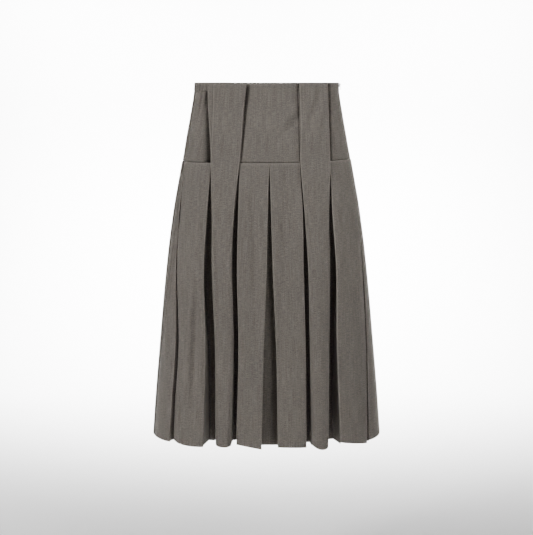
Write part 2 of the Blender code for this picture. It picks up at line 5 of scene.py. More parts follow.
import bmesh
import bpy
import numpy as np
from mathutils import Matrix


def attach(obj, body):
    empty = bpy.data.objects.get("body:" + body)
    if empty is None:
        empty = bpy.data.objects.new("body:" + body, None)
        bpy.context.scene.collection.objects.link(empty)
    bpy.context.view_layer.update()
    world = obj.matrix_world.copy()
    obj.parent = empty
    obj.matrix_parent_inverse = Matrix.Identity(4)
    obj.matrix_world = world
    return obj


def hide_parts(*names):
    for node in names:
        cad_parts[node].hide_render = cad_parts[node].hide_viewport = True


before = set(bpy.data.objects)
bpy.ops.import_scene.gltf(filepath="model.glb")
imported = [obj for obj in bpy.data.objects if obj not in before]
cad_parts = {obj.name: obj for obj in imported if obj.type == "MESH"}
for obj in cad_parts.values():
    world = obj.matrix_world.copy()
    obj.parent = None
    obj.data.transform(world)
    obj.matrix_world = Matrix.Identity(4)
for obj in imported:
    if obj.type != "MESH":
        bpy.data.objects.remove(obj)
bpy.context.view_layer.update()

# Front yoke
# The flat centre piece between the two long pleats, cut from the suiting on the straight grain.
# Its sides are seamed under the long pleats and its foot is sewn to the pleated skirt. Its top is
# turned in, a little lower than the back waist, and climbs towards the zip.
MM = 0.001
HIP_Z, HEM_Z = -0.188, -0.858
SEAM_GAP = 0.0003
CLOTH_THICK = 0.0010
EDGE_ROUND = 0.0007
SQUARENESS = 2.3
# The body under the cloth in metres, from the waist down: half its width, and how far it reaches in
# front of the side seams and behind them
Level = namedtuple("Level", "z half_width front_depth back_depth")
BODY = [
    Level(0.000, 0.1730, 0.062, 0.068),
    Level(-0.030, 0.1750, 0.065, 0.073),
    Level(-0.085, 0.1845, 0.074, 0.086),
    Level(-0.130, 0.1930, 0.084, 0.099),
    Level(-0.188, 0.2030, 0.095, 0.110),
    Level(-0.300, 0.2245, 0.112, 0.123),
    Level(-0.400, 0.2390, 0.123, 0.131),
    Level(-0.520, 0.2520, 0.134, 0.138),
    Level(-0.650, 0.2640, 0.143, 0.145),
    Level(-0.755, 0.2735, 0.149, 0.150),
    Level(-0.862, 0.2815, 0.153, 0.153),
]
UPPER_LEVELS = (0.0, -0.060, -0.120)
PLEAT_LEVELS = (-0.188, -0.313, -0.435, -0.626, -0.842)
# Where the two long pleats stand at the waist, and down to the hip
LONG_TOPS = {
    "long_l_outer": (-0.1231, -0.1243, -0.1263),
    "long_l_inner": (-0.0462, -0.0530, -0.0573),
    "long_r_inner": (0.0762, 0.0787, 0.0793),
    "long_r_outer": (0.1424, 0.1446, 0.1468),
}
# Each front pleat at the heights of PLEAT_LEVELS: where its middle stands and how wide it opens in
# millimetres, then in metres how deep it is at the hem, how far its inner fold leans over, and the
# longest that its folded layer may be
Opening = namedtuple("Opening", "centres widths depth lean longest")
FRONT_PLEATS = {
    "side_l": Opening((-0.1935, -0.2089, -0.2163, -0.2158, -0.2340), (0.6, 2.6, 4.0, 9.3, 10.0),
                      0.018, 0.009, 0.005),
    "long_l_outer": Opening((-0.1299, -0.1352, -0.1394, -0.1347, -0.1376), (0.6, 11.7, 18.4, 21.8, 28.2),
                            0.045, 0.0, 0.040),
    "long_l_inner": Opening((-0.0629, -0.0724, -0.0759, -0.0731, -0.0794), (0.6, 10.8, 12.0, 12.0, 12.8),
                            0.042, 0.0, 0.040),
    "centre": Opening((0.0066, 0.0068, 0.0074, 0.0082, 0.0076), (0.6, 8.4, 14.3, 29.6, 38.4),
                      0.030, 0.0, 0.040),
    "long_r_inner": Opening((0.0789, 0.0881, 0.0934, 0.0985, 0.1024), (0.6, 4.9, 11.6, 11.1, 13.6),
                            0.032, 0.0, 0.040),
    "long_r_outer": Opening((0.1489, 0.1525, 0.1587, 0.1604, 0.1652), (0.6, 9.4, 15.4, 19.1, 29.4),
                            0.044, 0.0, 0.022),
    "side_r": Opening((0.1990, 0.2205, 0.2318, 0.2425, 0.2478), (0.6, 3.0, 8.0, 8.5, 9.2),
                      0.014, 0.0, 0.010),
}
FRONT_ORDER = tuple(FRONT_PLEATS)
SEAM_RISE, RISE_FROM, RISE_TO = 0.006, 0.08, 0.20
FRONT_TOP_Z, FRONT_TOP_CLIMB = -0.005, 0.004
CASING_HEIGHT = 0.020
SIDE_SEAM_SHARE = 0.98
SEAM_PRESS, SEAM_DIP = 0.007, 0.0028
FINE_ROW, FINE_COLUMN, NEARBY = 0.0040, 0.0014, 0.002


def ease(share):
    share = np.clip(share, 0.0, 1.0)
    return share * share * (3.0 - 2.0 * share)


def smooth(z, levels, values):
    """A table column read at height z, on a cubic through its rows."""
    down = [-level for level in levels]
    here = min(max(-z, down[0]), down[-1])
    row = min(max(int(np.searchsorted(down, here, side="right")) - 1, 0), len(down) - 2)

    def slope(index):
        before, after = max(index - 1, 0), min(index + 1, len(down) - 1)
        return (values[after] - values[before]) / (down[after] - down[before])

    step = down[row + 1] - down[row]
    part = (here - down[row]) / step
    square, cube = part * part, part ** 3
    start = (2 * cube - 3 * square + 1) * values[row] + (cube - 2 * square + part) * step * slope(row)
    end = (3 * square - 2 * cube) * values[row + 1] + (cube - square) * step * slope(row + 1)
    return start + end


def body_size(z, column):
    return smooth(z, [level.z for level in BODY], [getattr(level, column) for level in BODY])


@lru_cache(maxsize=None)
def body_ring(z):
    """The body at height z: the distance round from the centre front, with x and y."""
    angle = np.linspace(-1.5 * math.pi, 0.5 * math.pi, 2881)
    power = 2.0 / SQUARENESS
    x = body_size(z, "half_width") * np.sign(np.cos(angle)) * np.abs(np.cos(angle)) ** power
    depth = np.where(np.sin(angle) < 0, body_size(z, "front_depth"), body_size(z, "back_depth"))
    y = depth * np.sign(np.sin(angle)) * np.abs(np.sin(angle)) ** power
    way = np.concatenate([[0.0], np.cumsum(np.hypot(np.diff(x), np.diff(y)))])
    return way - np.interp(-0.5 * math.pi, angle, way), x, y


def girth(z):
    way = body_ring(z)[0]
    return way[-1] - way[0]


def on_body(z, way, out):
    """x and y of the points a distance way round at height z, moved out by out."""
    ring, x, y = body_ring(z)
    whole = ring[-1] - ring[0]

    def at(value):
        value = (value - ring[0]) % whole + ring[0]
        return np.interp(value, ring, x), np.interp(value, ring, y)

    way = np.asarray(way, dtype=float)
    before, here, after = at(way - NEARBY), at(way), at(way + NEARBY)
    along_x, along_y = after[0] - before[0], after[1] - before[1]
    length = np.hypot(along_x, along_y)
    return here[0] + along_y / length * out, here[1] - along_x / length * out


def way_at_x(z, x):
    ring, ring_x, ring_y = body_ring(z)
    front = ring_y <= 1e-9
    return float(np.interp(x, ring_x[front], ring[front]))


def side_seam(z, side):
    half_width = body_size(z, "half_width")
    return way_at_x(z, -SIDE_SEAM_SHARE * half_width if side == "l" else half_width)


def front_pleat_centre(name, z):
    levels, centres = PLEAT_LEVELS, FRONT_PLEATS[name].centres
    if name in LONG_TOPS:
        levels, centres = UPPER_LEVELS + levels, LONG_TOPS[name] + centres
    return way_at_x(z, smooth(z, levels, centres))


def hip_rise(x):
    """How far the hip seam has climbed at x, on its way to the zip."""
    return SEAM_RISE * ease((x - RISE_FROM) / (RISE_TO - RISE_FROM))


def yoke_end(name, z):
    """Where a yoke is seamed: at a side seam, or under the middle of a long pleat."""
    if name in ("seam_l", "seam_r"):
        return side_seam(z, name[-1])
    if name == "seam_l_round":
        return side_seam(z, "l") + girth(z)
    if name == "long_l_round":
        return yoke_end("long_l", z) + girth(z)
    return (front_pleat_centre(name + "_outer", z) + front_pleat_centre(name + "_inner", z)) / 2


# A soft crease between two places, seen from the front or back: sizes at its two ends in millimetres
Crease = namedtuple("Crease", "x z x_end z_end width width_end height height_end fades")


def creased(creases, x, z):
    """How far the cloth stands out at each x at height z, from a table of creases."""
    total = np.zeros_like(x)
    for crease in creases:
        run_x, run_z = crease.x_end - crease.x, crease.z_end - crease.z
        length = math.hypot(run_x, run_z)
        along = ((x - crease.x) * run_x + (z - crease.z) * run_z) / length
        aside = ((x - crease.x) * run_z - (z - crease.z) * run_x) / length
        part = np.clip(along / length, 0.0, 1.0)
        width = MM * (crease.width + (crease.width_end - crease.width) * part)
        tall = MM * (crease.height + (crease.height_end - crease.height) * part)
        past = along - part * length
        if crease.fades:
            tall = tall * np.sin(math.pi * (0.04 + 0.92 * part)) ** 0.7
        total += tall * np.exp(-(aside / width) ** 2 - (past / (1.5 * width)) ** 2)
    return total


def cloth_sides(way, out, thick):
    """The inner line of a wall of cloth whose outer line is way and out, mitred at its corners."""
    step_way, step_out = np.diff(way), np.diff(out)
    length = np.maximum(np.hypot(step_way, step_out), 1e-9)
    side_way, side_out = step_out / length, -step_way / length
    before = np.concatenate([[0], np.arange(len(side_way))])
    after = np.concatenate([np.arange(len(side_way)), [len(side_way) - 1]])
    mitre = 1.0 + side_way[before] * side_way[after] + side_out[before] * side_out[after]
    mitre = np.maximum(mitre, 0.6)
    return (way + (side_way[before] + side_way[after]) * thick / mitre,
            out + (side_out[before] + side_out[after]) * thick / mitre)


def placed(name, data):
    """A new object in the scene that holds a mesh, a lamp or the camera."""
    thing = bpy.data.objects.new(name, data)
    bpy.context.scene.collection.objects.link(thing)
    return thing


def cloth_mesh(name, levels, way, out, height, material, roll, thick=None, pressed=None):
    """A thin wall of cloth from rows of points round the body, its outer face rolled at the edges."""
    rows, columns = way.shape
    thick = np.full(rows, CLOTH_THICK) if thick is None else thick
    outer, inner = np.zeros((rows, columns, 3)), np.zeros((rows, columns, 3))
    for row, z in enumerate(levels):
        outer[row, :, 0], outer[row, :, 1] = on_body(z, way[row], out[row] + roll[row])
        in_way, in_out = cloth_sides(way[row], out[row], thick[row])
        inner[row, :, 0], inner[row, :, 1] = on_body(z, in_way, in_out)
    outer[:, :, 2] = inner[:, :, 2] = height
    across = np.concatenate([np.zeros((rows, 1)), np.cumsum(np.linalg.norm(
        np.diff(outer, axis=1), axis=2), axis=1)], axis=1)
    across -= across[:, columns // 2:columns // 2 + 1]
    down = np.cumsum(np.linalg.norm(np.diff(outer[:, columns // 2], axis=0), axis=1))
    down = -np.concatenate([[0.0], down])[:, None] + np.zeros((1, columns))
    # The rim runs once round the edge of the cloth, a third line between its two faces
    rim = [(0, c) for c in range(columns)] + [(r, columns - 1) for r in range(1, rows)]
    rim += [(rows - 1, c) for c in range(columns - 2, -1, -1)] + [(r, 0) for r in range(rows - 2, 0, -1)]
    rim_points = []
    for row, column in rim:
        push = np.zeros(3)
        if row in (0, rows - 1):
            push += outer[row, column] - outer[1 if row == 0 else rows - 2, column]
        if column in (0, columns - 1):
            push += outer[row, column] - outer[row, 1 if column == 0 else columns - 2]
        push /= max(np.linalg.norm(push), 1e-9)
        rim_points.append((outer[row, column] + inner[row, column]) / 2 + push * thick[row] * 0.4)
    points = np.concatenate([outer.reshape(-1, 3), inner.reshape(-1, 3), np.array(rim_points)])
    uv = np.stack([across, down], axis=2).reshape(-1, 2)
    uv = np.concatenate([uv, uv, np.array([uv[r * columns + c] for r, c in rim])])
    grid = np.arange(rows * columns).reshape(rows, columns)
    quads = np.stack([grid[:-1, :-1], grid[1:, :-1], grid[1:, 1:], grid[:-1, 1:]], axis=2).reshape(-1, 4)
    faces = quads.tolist() + (quads[:, ::-1] + rows * columns).tolist()
    count, start = len(rim), 2 * rows * columns
    for number in range(count):
        after = (number + 1) % count
        a, b = grid[rim[number]], grid[rim[after]]
        faces.append((a, b, start + after, start + number))
        faces.append((start + number, start + after, b + rows * columns, a + rows * columns))
    mesh = bpy.data.meshes.new(name)
    mesh.from_pydata(points.tolist(), [], [tuple(int(v) for v in face) for face in faces])
    layer = mesh.uv_layers.new(name="Cloth")
    corner_points = np.zeros(len(mesh.loops), dtype=np.int32)
    mesh.loops.foreach_get("vertex_index", corner_points)
    layer.data.foreach_set("uv", uv[corner_points].ravel())
    mesh.polygons.foreach_set("use_smooth", np.ones(len(mesh.polygons), dtype=bool))
    # The per-point painted highlight: a share of paler colour that the suiting adds in place of light caught
    # on edges
    painted_highlight = mesh.attributes.new("PaintedHighlight", "FLOAT", "POINT")
    pressed = np.zeros((rows, columns)) if pressed is None else pressed
    pressed = np.concatenate([pressed.ravel(), pressed.ravel(), [pressed[r, c] for r, c in rim]])
    painted_highlight.data.foreach_set("value", pressed.astype(np.float32))
    mesh.materials.append(material)
    mesh.update()
    return placed(name, mesh)


def even_shares(length, step, edge=EDGE_ROUND):
    """Shares along a length at an even step, with close ones where the edge rolls over."""
    count = max(int(round(length / step)), 4)
    inner = np.linspace(0.0, 1.0, count + 1)[1:-1]
    close = np.array([0.0, 0.4, 1.0, 2.2]) * edge / length
    inner = inner[(inner > 1.5 * close[-1]) & (inner < 1 - 1.5 * close[-1])]
    return np.concatenate([close, inner, 1.0 - close[::-1]])


def rolled(distance, edge=EDGE_ROUND, fall=0.8):
    """How far a turned edge falls away within its last millimetre or two."""
    near = np.clip(1.0 - distance / (2.2 * edge), 0.0, 1.0)
    return -fall * edge * near ** 2


def seam_dip(distance):
    """How far the cloth dips towards a side seam that is pressed open, at each distance from it."""
    return -SEAM_DIP * np.clip(1.0 - distance / SEAM_PRESS, 0.0, 1.0) ** 2


def suiting(name):
    """Fine melange suiting: mixed taupe, brown and greenish grey threads, plain woven, matt."""
    material = bpy.data.materials.new(name)
    material.use_nodes = True
    nodes, links = material.node_tree.nodes, material.node_tree.links
    shader = nodes["Principled BSDF"]
    shader.inputs["Roughness"].default_value = 0.88
    shader.inputs["Specular IOR Level"].default_value = 0.25
    shader.inputs["Sheen Weight"].default_value = 0.25
    shader.inputs["Sheen Roughness"].default_value = 0.5
    shader.inputs["Sheen Tint"].default_value = (0.80, 0.76, 0.68, 1.0)
    uv = nodes.new("ShaderNodeUVMap")
    uv.uv_map = "Cloth"

    def noise(scale_across, scale_down, size, detail, shift):
        mapping = nodes.new("ShaderNodeMapping")
        mapping.inputs["Location"].default_value = (shift, 0.3 * shift, shift)
        mapping.inputs["Scale"].default_value = (scale_across, scale_down, 1.0)
        links.new(uv.outputs["UV"], mapping.inputs["Vector"])
        texture = nodes.new("ShaderNodeTexNoise")
        texture.inputs["Scale"].default_value = size
        texture.inputs["Detail"].default_value = detail
        links.new(mapping.outputs["Vector"], texture.inputs["Vector"])
        return texture.outputs["Fac"]

    def mix(kind, share, one, two):
        node = nodes.new("ShaderNodeMix")
        node.data_type, node.blend_type = "RGBA", kind
        for socket, value in ((node.inputs[0], share), (node.inputs[6], one), (node.inputs[7], two)):
            if isinstance(value, bpy.types.NodeSocket):
                links.new(value, socket)
            else:
                socket.default_value = value
        return node.outputs[2]

    def ramp(value, stops):
        node = nodes.new("ShaderNodeValToRGB")
        elements = node.color_ramp.elements
        while len(elements) < len(stops):
            elements.new(0.5)
        for element, (place, colour) in zip(elements, stops):
            element.position, element.color = place, (*colour, 1.0)
        links.new(value, node.inputs["Fac"])
        return node.outputs["Color"]

    # Threads: long thin streaks down the warp and across the weft, and a finer speckle
    warp = noise(1.0, 0.028, 620.0, 1.0, 1.0)
    weft = noise(0.16, 1.0, 560.0, 1.0, 7.0)
    speck = noise(1.0, 1.0, 440.0, 2.0, 3.0)
    cloudy = noise(1.0, 0.8, 9.0, 1.0, 5.0)
    warp_colour = ramp(warp, [(0.28, (0.118, 0.101, 0.086)), (0.50, (0.152, 0.136, 0.121)),
                              (0.74, (0.194, 0.178, 0.163))])
    weft_colour = ramp(weft, [(0.28, (0.106, 0.100, 0.090)), (0.50, (0.152, 0.138, 0.122)),
                              (0.74, (0.214, 0.188, 0.163))])
    colour = mix("MIX", 0.5, warp_colour, weft_colour)
    speckle = ramp(speck, [(0.30, (0.70, 0.70, 0.69)), (0.70, (1.30, 1.29, 1.28))])
    patches = ramp(cloudy, [(0.3, (0.90, 0.91, 0.92)), (0.7, (1.08, 1.07, 1.05))])
    colour = mix("MULTIPLY", 0.4, mix("MULTIPLY", 0.75, colour, speckle), patches)
    # Painted highlight: a paler colour is added by the per-point attribute read here. It stands in for light
    # caught on fold edges, the skirt's top edge at the hip seam and the casing's top.
    painted_highlight = nodes.new("ShaderNodeAttribute")
    painted_highlight.attribute_name = "PaintedHighlight"
    colour = mix("ADD", painted_highlight.outputs["Fac"], colour, (0.105, 0.096, 0.084, 1.0))
    links.new(colour, shader.inputs["Base Color"])
    # The weave itself, about one thread each 0.45 mm
    waves = []
    for direction in ("X", "Y"):
        wave = nodes.new("ShaderNodeTexWave")
        wave.bands_direction = direction
        wave.inputs["Scale"].default_value = 350.0
        wave.inputs["Distortion"].default_value = 1.2
        wave.inputs["Detail"].default_value = 1.0
        links.new(uv.outputs["UV"], wave.inputs["Vector"])
        waves.append(wave.outputs["Fac"])
    weave = mix("MULTIPLY", 1.0, *waves)
    height = mix("MIX", 0.5, weave, mix("MIX", 0.5, warp, weft))
    bump = nodes.new("ShaderNodeBump")
    bump.inputs["Strength"].default_value = 0.12
    bump.inputs["Distance"].default_value = 0.0004
    links.new(height, bump.inputs["Height"])
    links.new(bump.outputs["Normal"], shader.inputs["Normal"])
    return material


cloth = suiting("suiting")
# Under the casing a yoke's top is gathered: how deep, how far down and how soon it meets the casing.
# It stays flat beside the seams
GATHER_DEPTH, GATHERS_END, GATHERS_MEET, GATHER_COLUMNS = 0.0034, 0.105, 0.014, 16
FLAT_END, FLAT_FADE = 0.0125, 0.010
# A yoke's foot rolls over into the hip seam, and its top and foot climb over these heights
FOOT_ROLL, FOOT_FALL, FOOT_FROM, FOOT_RUN, TOP_RUN = 0.0017, 2.0, 0.150, 0.038, 0.020


def yoke_cloth(name, start, stop, casing_above, creases=(), gathers=0, top_rise=(0.0, 0.0)):
    """A yoke panel between two ends, from its top edge down to the hip seam."""
    top = -CASING_HEIGHT - SEAM_GAP if casing_above else FRONT_TOP_Z
    wide = yoke_end(stop, HIP_Z) - yoke_end(start, HIP_Z)
    shares = even_shares(wide, FINE_COLUMN if not gathers else wide / gathers / GATHER_COLUMNS)
    rise = top_rise[0] + (top_rise[1] - top_rise[0]) * ease(shares)
    drops = even_shares(top - HIP_Z, FINE_ROW)
    levels = [top + (HIP_Z - top) * drop for drop in drops]
    way, out = np.zeros((len(levels), len(shares))), np.zeros((len(levels), len(shares)))
    height, roll = np.zeros_like(way), np.zeros_like(way)
    for row, z in enumerate(levels):
        first, last = yoke_end(start, z) + SEAM_GAP / 2, yoke_end(stop, z) - SEAM_GAP / 2
        way[row] = first + (last - first) * shares
        x = on_body(z, way[row], 0.0)[0]
        from_side = np.minimum(way[row] - first, last - way[row])
        roll[row] = rolled(np.minimum(from_side, top - z))
        out[row] = creased(creases, x, z) + rolled(z - HIP_Z, FOOT_ROLL, FOOT_FALL)
        if start == "seam_l":
            out[row] += seam_dip(way[row] - first)
        if stop == "seam_l_round":
            out[row] += seam_dip(last - way[row])
        if gathers:
            fade = ease((z + GATHERS_END) / (GATHERS_END - CASING_HEIGHT))
            flat = ease((from_side - FLAT_END) / FLAT_FADE)
            own = -GATHER_DEPTH * fade * flat * (1.0 - np.cos(2 * math.pi * gathers * shares)) / 2
            near = ease(1.0 - (top - z) / GATHERS_MEET)
            out[row] += near * casing_foot(z, way[row]) + (1.0 - near) * own
        low = np.clip((-FOOT_FROM - z) / FOOT_RUN, 0.0, 1.0)
        high = ease(1.0 - (top - z) / TOP_RUN)
        height[row] = z + low * (SEAM_GAP + hip_rise(x)) + high * rise
    return cloth_mesh(name, levels, way, out, height, cloth, roll)


YOKE_FRONT_CREASES = [
    Crease(-0.0489, -0.004, -0.0610, -0.187, 5.0, 1.6, -7.0, -3.0, 0),
    Crease(0.0752, -0.005, 0.0752, -0.022, 2.0, 1.5, -4.5, -3.0, 0),
    Crease(0.0742, -0.022, 0.0765, -0.078, 1.8, 1.6, -2.6, -4.0, 0),
    Crease(0.0765, -0.078, 0.0791, -0.187, 1.4, 1.3, -2.4, -1.8, 0),
    Crease(0.0807, -0.074, 0.0196, -0.145, 10, 8, -5.2, -4.4, 1),
    Crease(0.0750, -0.050, 0.0080, -0.122, 9, 9, 2.8, 2.8, 1),
    Crease(-0.0109, -0.022, -0.0250, -0.134, 14, 14, 2.2, 2.2, 1),
]
front_yoke = yoke_cloth("front_yoke", "long_l", "long_r", False, YOKE_FRONT_CREASES,
                        top_rise=(0.0, FRONT_TOP_CLIMB))
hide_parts("yoke_front")
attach(front_yoke, "skirt")

# Side front yokes
# Two narrow pieces from the long pleats to the side seams. The left one is gathered lightly at its
# top into the elastic casing, the right one is flat and ends at the zip.
CASING_GATHERS = 58
# How deep the casing's own gathers are at its top, middle and foot
Gather = namedtuple("Gather", "z depth")
CASING_ROWS = (Gather(0.0, 0.0018), Gather(-CASING_HEIGHT / 2, 0.0026), Gather(-CASING_HEIGHT, 0.0021))


def casing_line(z, shares):
    """The way round and the out of the gathered casing at height z, with the distance to its ends."""
    first, last = yoke_end("seam_r", z) + SEAM_GAP / 2, yoke_end("long_l_round", z) - SEAM_GAP / 2
    way = first + (last - first) * shares
    depth = np.interp(-z, [-gather.z for gather in CASING_ROWS], [gather.depth for gather in CASING_ROWS])
    from_side = np.minimum(way - first, last - way)
    uneven = 0.25 * np.sin(shares * 61.0) + 0.20 * np.sin(shares * 147.0 + 1.0)
    turn = 2 * math.pi * (CASING_GATHERS * shares + 0.12 * np.sin(shares * 83.0 + 20 * z))
    wave = (1.0 - np.cos(turn)) / 2
    return way, -depth * (1.0 + uneven) * wave * ease((from_side - FLAT_END) / FLAT_FADE), from_side


def casing_foot(z, way):
    """How far in the foot of the casing lies above each point of a yoke's top."""
    line, out = casing_line(-CASING_HEIGHT, np.linspace(0.0, 1.0, 4001))[:2]
    return np.interp(np.where(way < line[0], way + girth(z), way), line, out)


SIDE_L_CREASES = [
    Crease(-0.1405, -0.022, -0.1310, -0.188, 7.5, 13.5, -13.0, -28.0, 0),
    Crease(-0.1655, -0.041, -0.1747, -0.182, 7, 8, 1.6, 1.6, 1),
    Crease(-0.1510, -0.026, -0.1554, -0.111, 5, 5, -1.5, -1.5, 1),
    Crease(-0.1700, -0.040, -0.1975, -0.184, 1.3, 1.3, -3.2, -3.2, 0),
]
SIDE_R_CREASES = [
    Crease(0.1482, -0.002, 0.1510, -0.187, 1.8, 2.0, -11.0, -11.0, 0),
    Crease(0.1674, -0.018, 0.1791, -0.159, 8, 8, 1.2, 1.2, 1),
    Crease(0.1560, -0.010, 0.1650, -0.048, 3, 3, -1.1, -0.8, 1),
]
side_yoke_l = yoke_cloth("side_front_yoke_l", "seam_l", "long_l", True, SIDE_L_CREASES, gathers=9)
side_yoke_r = yoke_cloth("side_front_yoke_r", "long_r", "seam_r", False, SIDE_R_CREASES,
                         top_rise=(-SEAM_GAP - FRONT_TOP_Z, -SEAM_GAP - FRONT_TOP_Z))
for piece, node in ((side_yoke_l, "yoke_side_front_l"), (side_yoke_r, "yoke_side_front_r")):
    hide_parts(node)
    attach(piece, "skirt")

# Back yoke
# One piece of the suiting from side seam to side seam, gathered all along its top into the elastic
# casing. Its foot is sewn to the two back skirts, and it lies flat there.
back_yoke = yoke_cloth("back_yoke", "seam_r", "seam_l_round", True, gathers=29)
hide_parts("yoke_back")
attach(back_yoke, "skirt")

# Waist casing
# A folded strip of the suiting with elastic drawn through it, which gathers it all the way from the
# zip round the back to the left front. It is caught down under the left long pleat.
STITCH_ROW_Z, STITCH_PITCH, STITCH_LENGTH, THREAD_THICK = -0.0168, 0.0032, 0.0022, 0.00042


def casing_cloth():
    drops = even_shares(CASING_HEIGHT, 0.0025)
    shares = np.linspace(0.0, 1.0, CASING_GATHERS * 10 + 1)
    levels = [-CASING_HEIGHT * drop for drop in drops]
    way, out = np.zeros((len(levels), len(shares))), np.zeros((len(levels), len(shares)))
    roll, pressed = np.zeros_like(way), np.zeros_like(way)
    for row, z in enumerate(levels):
        way[row], out[row], from_side = casing_line(z, shares)
        roll[row] = rolled(np.minimum(from_side, min(-z, z + CASING_HEIGHT)))
        # Painted highlight over the casing's top 8 mm, paler towards its top edge, in place of light on the
        # inner waist seen above the front
        pressed[row] = 0.7 * max(1.0 + z / 0.008, 0.0)
    height = np.array(levels)[:, None] + np.zeros_like(way)
    return cloth_mesh("waist_casing", levels, way, out, height, cloth, roll, pressed=pressed)


def path_object(name, points):
    """A bare line of edges, which the node trees below turn into a curve."""
    mesh = bpy.data.meshes.new(name)
    mesh.from_pydata([tuple(float(v) for v in point) for point in points],
                     [(i, i + 1) for i in range(len(points) - 1)], [])
    return placed(name, mesh)


def laying_tree(name, sizes):
    """A tree that lays one shape at an even pitch down a line. Its shape and turn are added to it."""
    tree = bpy.data.node_groups.new(name, "GeometryNodeTree")
    sockets = [("Line", "Geometry"), ("Pitch", "Float")] + [(size, "Float") for size in sizes]
    for label, kind in sockets + [("Material", "Material")]:
        tree.interface.new_socket(name=label, in_out="INPUT", socket_type="NodeSocket" + kind)
    tree.interface.new_socket(name="Made", in_out="OUTPUT", socket_type="NodeSocketGeometry")
    nodes, links = tree.nodes, tree.links
    given, result = nodes.new("NodeGroupInput"), nodes.new("NodeGroupOutput")
    curve = nodes.new("GeometryNodeMeshToCurve")
    spaced = nodes.new("GeometryNodeResampleCurve")
    spaced.mode = "LENGTH"
    laid = nodes.new("GeometryNodeInstanceOnPoints")
    whole = nodes.new("GeometryNodeRealizeInstances")
    coloured = nodes.new("GeometryNodeSetMaterial")
    links.new(given.outputs["Line"], curve.inputs["Mesh"])
    links.new(given.outputs["Pitch"], spaced.inputs["Length"])
    links.new(curve.outputs["Curve"], spaced.inputs["Curve"])
    links.new(spaced.outputs["Curve"], laid.inputs["Points"])
    links.new(laid.outputs["Instances"], whole.inputs["Geometry"])
    links.new(whole.outputs["Geometry"], coloured.inputs["Geometry"])
    links.new(given.outputs["Material"], coloured.inputs["Material"])
    links.new(coloured.outputs["Geometry"], result.inputs["Made"])
    return tree, given, laid


def made_by(tree, path, name, sizes, material):
    """Run a tree on a line and keep the result as a plain mesh object."""
    maker = path.modifiers.new("maker", "NODES")
    maker.node_group = tree
    for item in tree.interface.items_tree:
        if item.in_out == "INPUT" and item.name in sizes:
            maker[item.identifier] = float(sizes[item.name])
        if item.in_out == "INPUT" and item.name == "Material":
            maker[item.identifier] = material
    result = bpy.data.meshes.new_from_object(path.evaluated_get(bpy.context.evaluated_depsgraph_get()))
    path.modifiers.remove(maker)
    bpy.data.objects.remove(path)
    shape = bmesh.new()
    shape.from_mesh(result)
    bmesh.ops.recalc_face_normals(shape, faces=shape.faces)
    for face in shape.faces:
        face.smooth = True
    shape.to_mesh(result)
    shape.free()
    result.name = name
    return placed(name, result)


def stitch_tree():
    """Short threads laid end to end along a line, each a slim round grain."""
    tree, given, laid = laying_tree("stitches", ("Length", "Thickness"))
    nodes, links = tree.nodes, tree.links
    grain = nodes.new("GeometryNodeMeshIcoSphere")
    grain.inputs["Radius"].default_value = 0.5
    grain.inputs["Subdivisions"].default_value = 2
    size = nodes.new("ShaderNodeCombineXYZ")
    for axis, label in (("X", "Length"), ("Y", "Thickness"), ("Z", "Thickness")):
        links.new(given.outputs[label], size.inputs[axis])
    heading = nodes.new("FunctionNodeAlignRotationToVector")
    heading.axis = "X"
    links.new(nodes.new("GeometryNodeInputTangent").outputs["Tangent"], heading.inputs["Vector"])
    links.new(grain.outputs["Mesh"], laid.inputs["Instance"])
    links.new(heading.outputs["Rotation"], laid.inputs["Rotation"])
    links.new(size.outputs["Vector"], laid.inputs["Scale"])
    return tree


def two_tone(name, roughness, kind, scale, dark, light):
    """A material in two shades, mixed by a fine noise or wave pattern."""
    material = bpy.data.materials.new(name)
    material.use_nodes = True
    nodes, links = material.node_tree.nodes, material.node_tree.links
    shader = nodes["Principled BSDF"]
    shader.inputs["Roughness"].default_value = roughness
    if kind == "Wave":
        place = nodes.new("ShaderNodeUVMap")
        place.uv_map = "Cloth"
    else:
        place = nodes.new("ShaderNodeTexCoord")
    pattern, shades = nodes.new("ShaderNodeTex" + kind), nodes.new("ShaderNodeValToRGB")
    pattern.name, shades.name = "pattern", "shades"
    pattern.inputs["Scale"].default_value = scale
    shades.color_ramp.elements[0].color = (*dark, 1.0)
    shades.color_ramp.elements[1].color = (*light, 1.0)
    links.new(place.outputs["UV" if kind == "Wave" else "Object"], pattern.inputs["Vector"])
    links.new(pattern.outputs["Fac"], shades.inputs["Fac"])
    links.new(shades.outputs["Color"], shader.inputs["Base Color"])
    return material


casing = casing_cloth()
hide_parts("waist_elastic")
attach(casing, "skirt")

# The casing is sewn down by one row of straight stitches a few millimetres above its foot, in a
# matt twisted polyester thread of the cloth's own taupe
thread = two_tone("thread", 0.62, "Noise", 2500.0, (0.105, 0.095, 0.082), (0.235, 0.215, 0.190))
shares = np.linspace(0.006, 0.994, CASING_GATHERS * 10 + 1)
way, out = casing_line(STITCH_ROW_Z, shares)[:2]
x, y = on_body(STITCH_ROW_Z, way, out + 0.1 * THREAD_THICK)
stitch_line = list(zip(x, y, x * 0 + STITCH_ROW_Z))
stitch_sizes = {"Pitch": STITCH_PITCH, "Length": STITCH_LENGTH, "Thickness": THREAD_THICK}
casing_stitches = made_by(stitch_tree(), path_object("casing_stitch_line", stitch_line),
                          "casing_stitches", stitch_sizes, thread)
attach(casing_stitches, "skirt")

# Pleated skirt
# Five pieces hang from the hip seam. Each is folded into inverted box pleats, pressed flat at the
# hip and falling open towards the hem, and they are seamed inside their pleats and at the sides.
BackPleat = namedtuple("BackPleat", "name share width depth")
BACK_PLEATS = [
    BackPleat("back_1", 0.100, 14.0, 0.026),
    BackPleat("back_2", 0.233, 20.0, 0.034),
    BackPleat("back_3", 0.367, 13.0, 0.030),
    BackPleat("back_4", 0.500, 24.0, 0.036),
    BackPleat("back_5", 0.633, 16.0, 0.030),
    BackPleat("back_6", 0.767, 19.0, 0.034),
    BackPleat("back_7", 0.900, 13.0, 0.026),
]
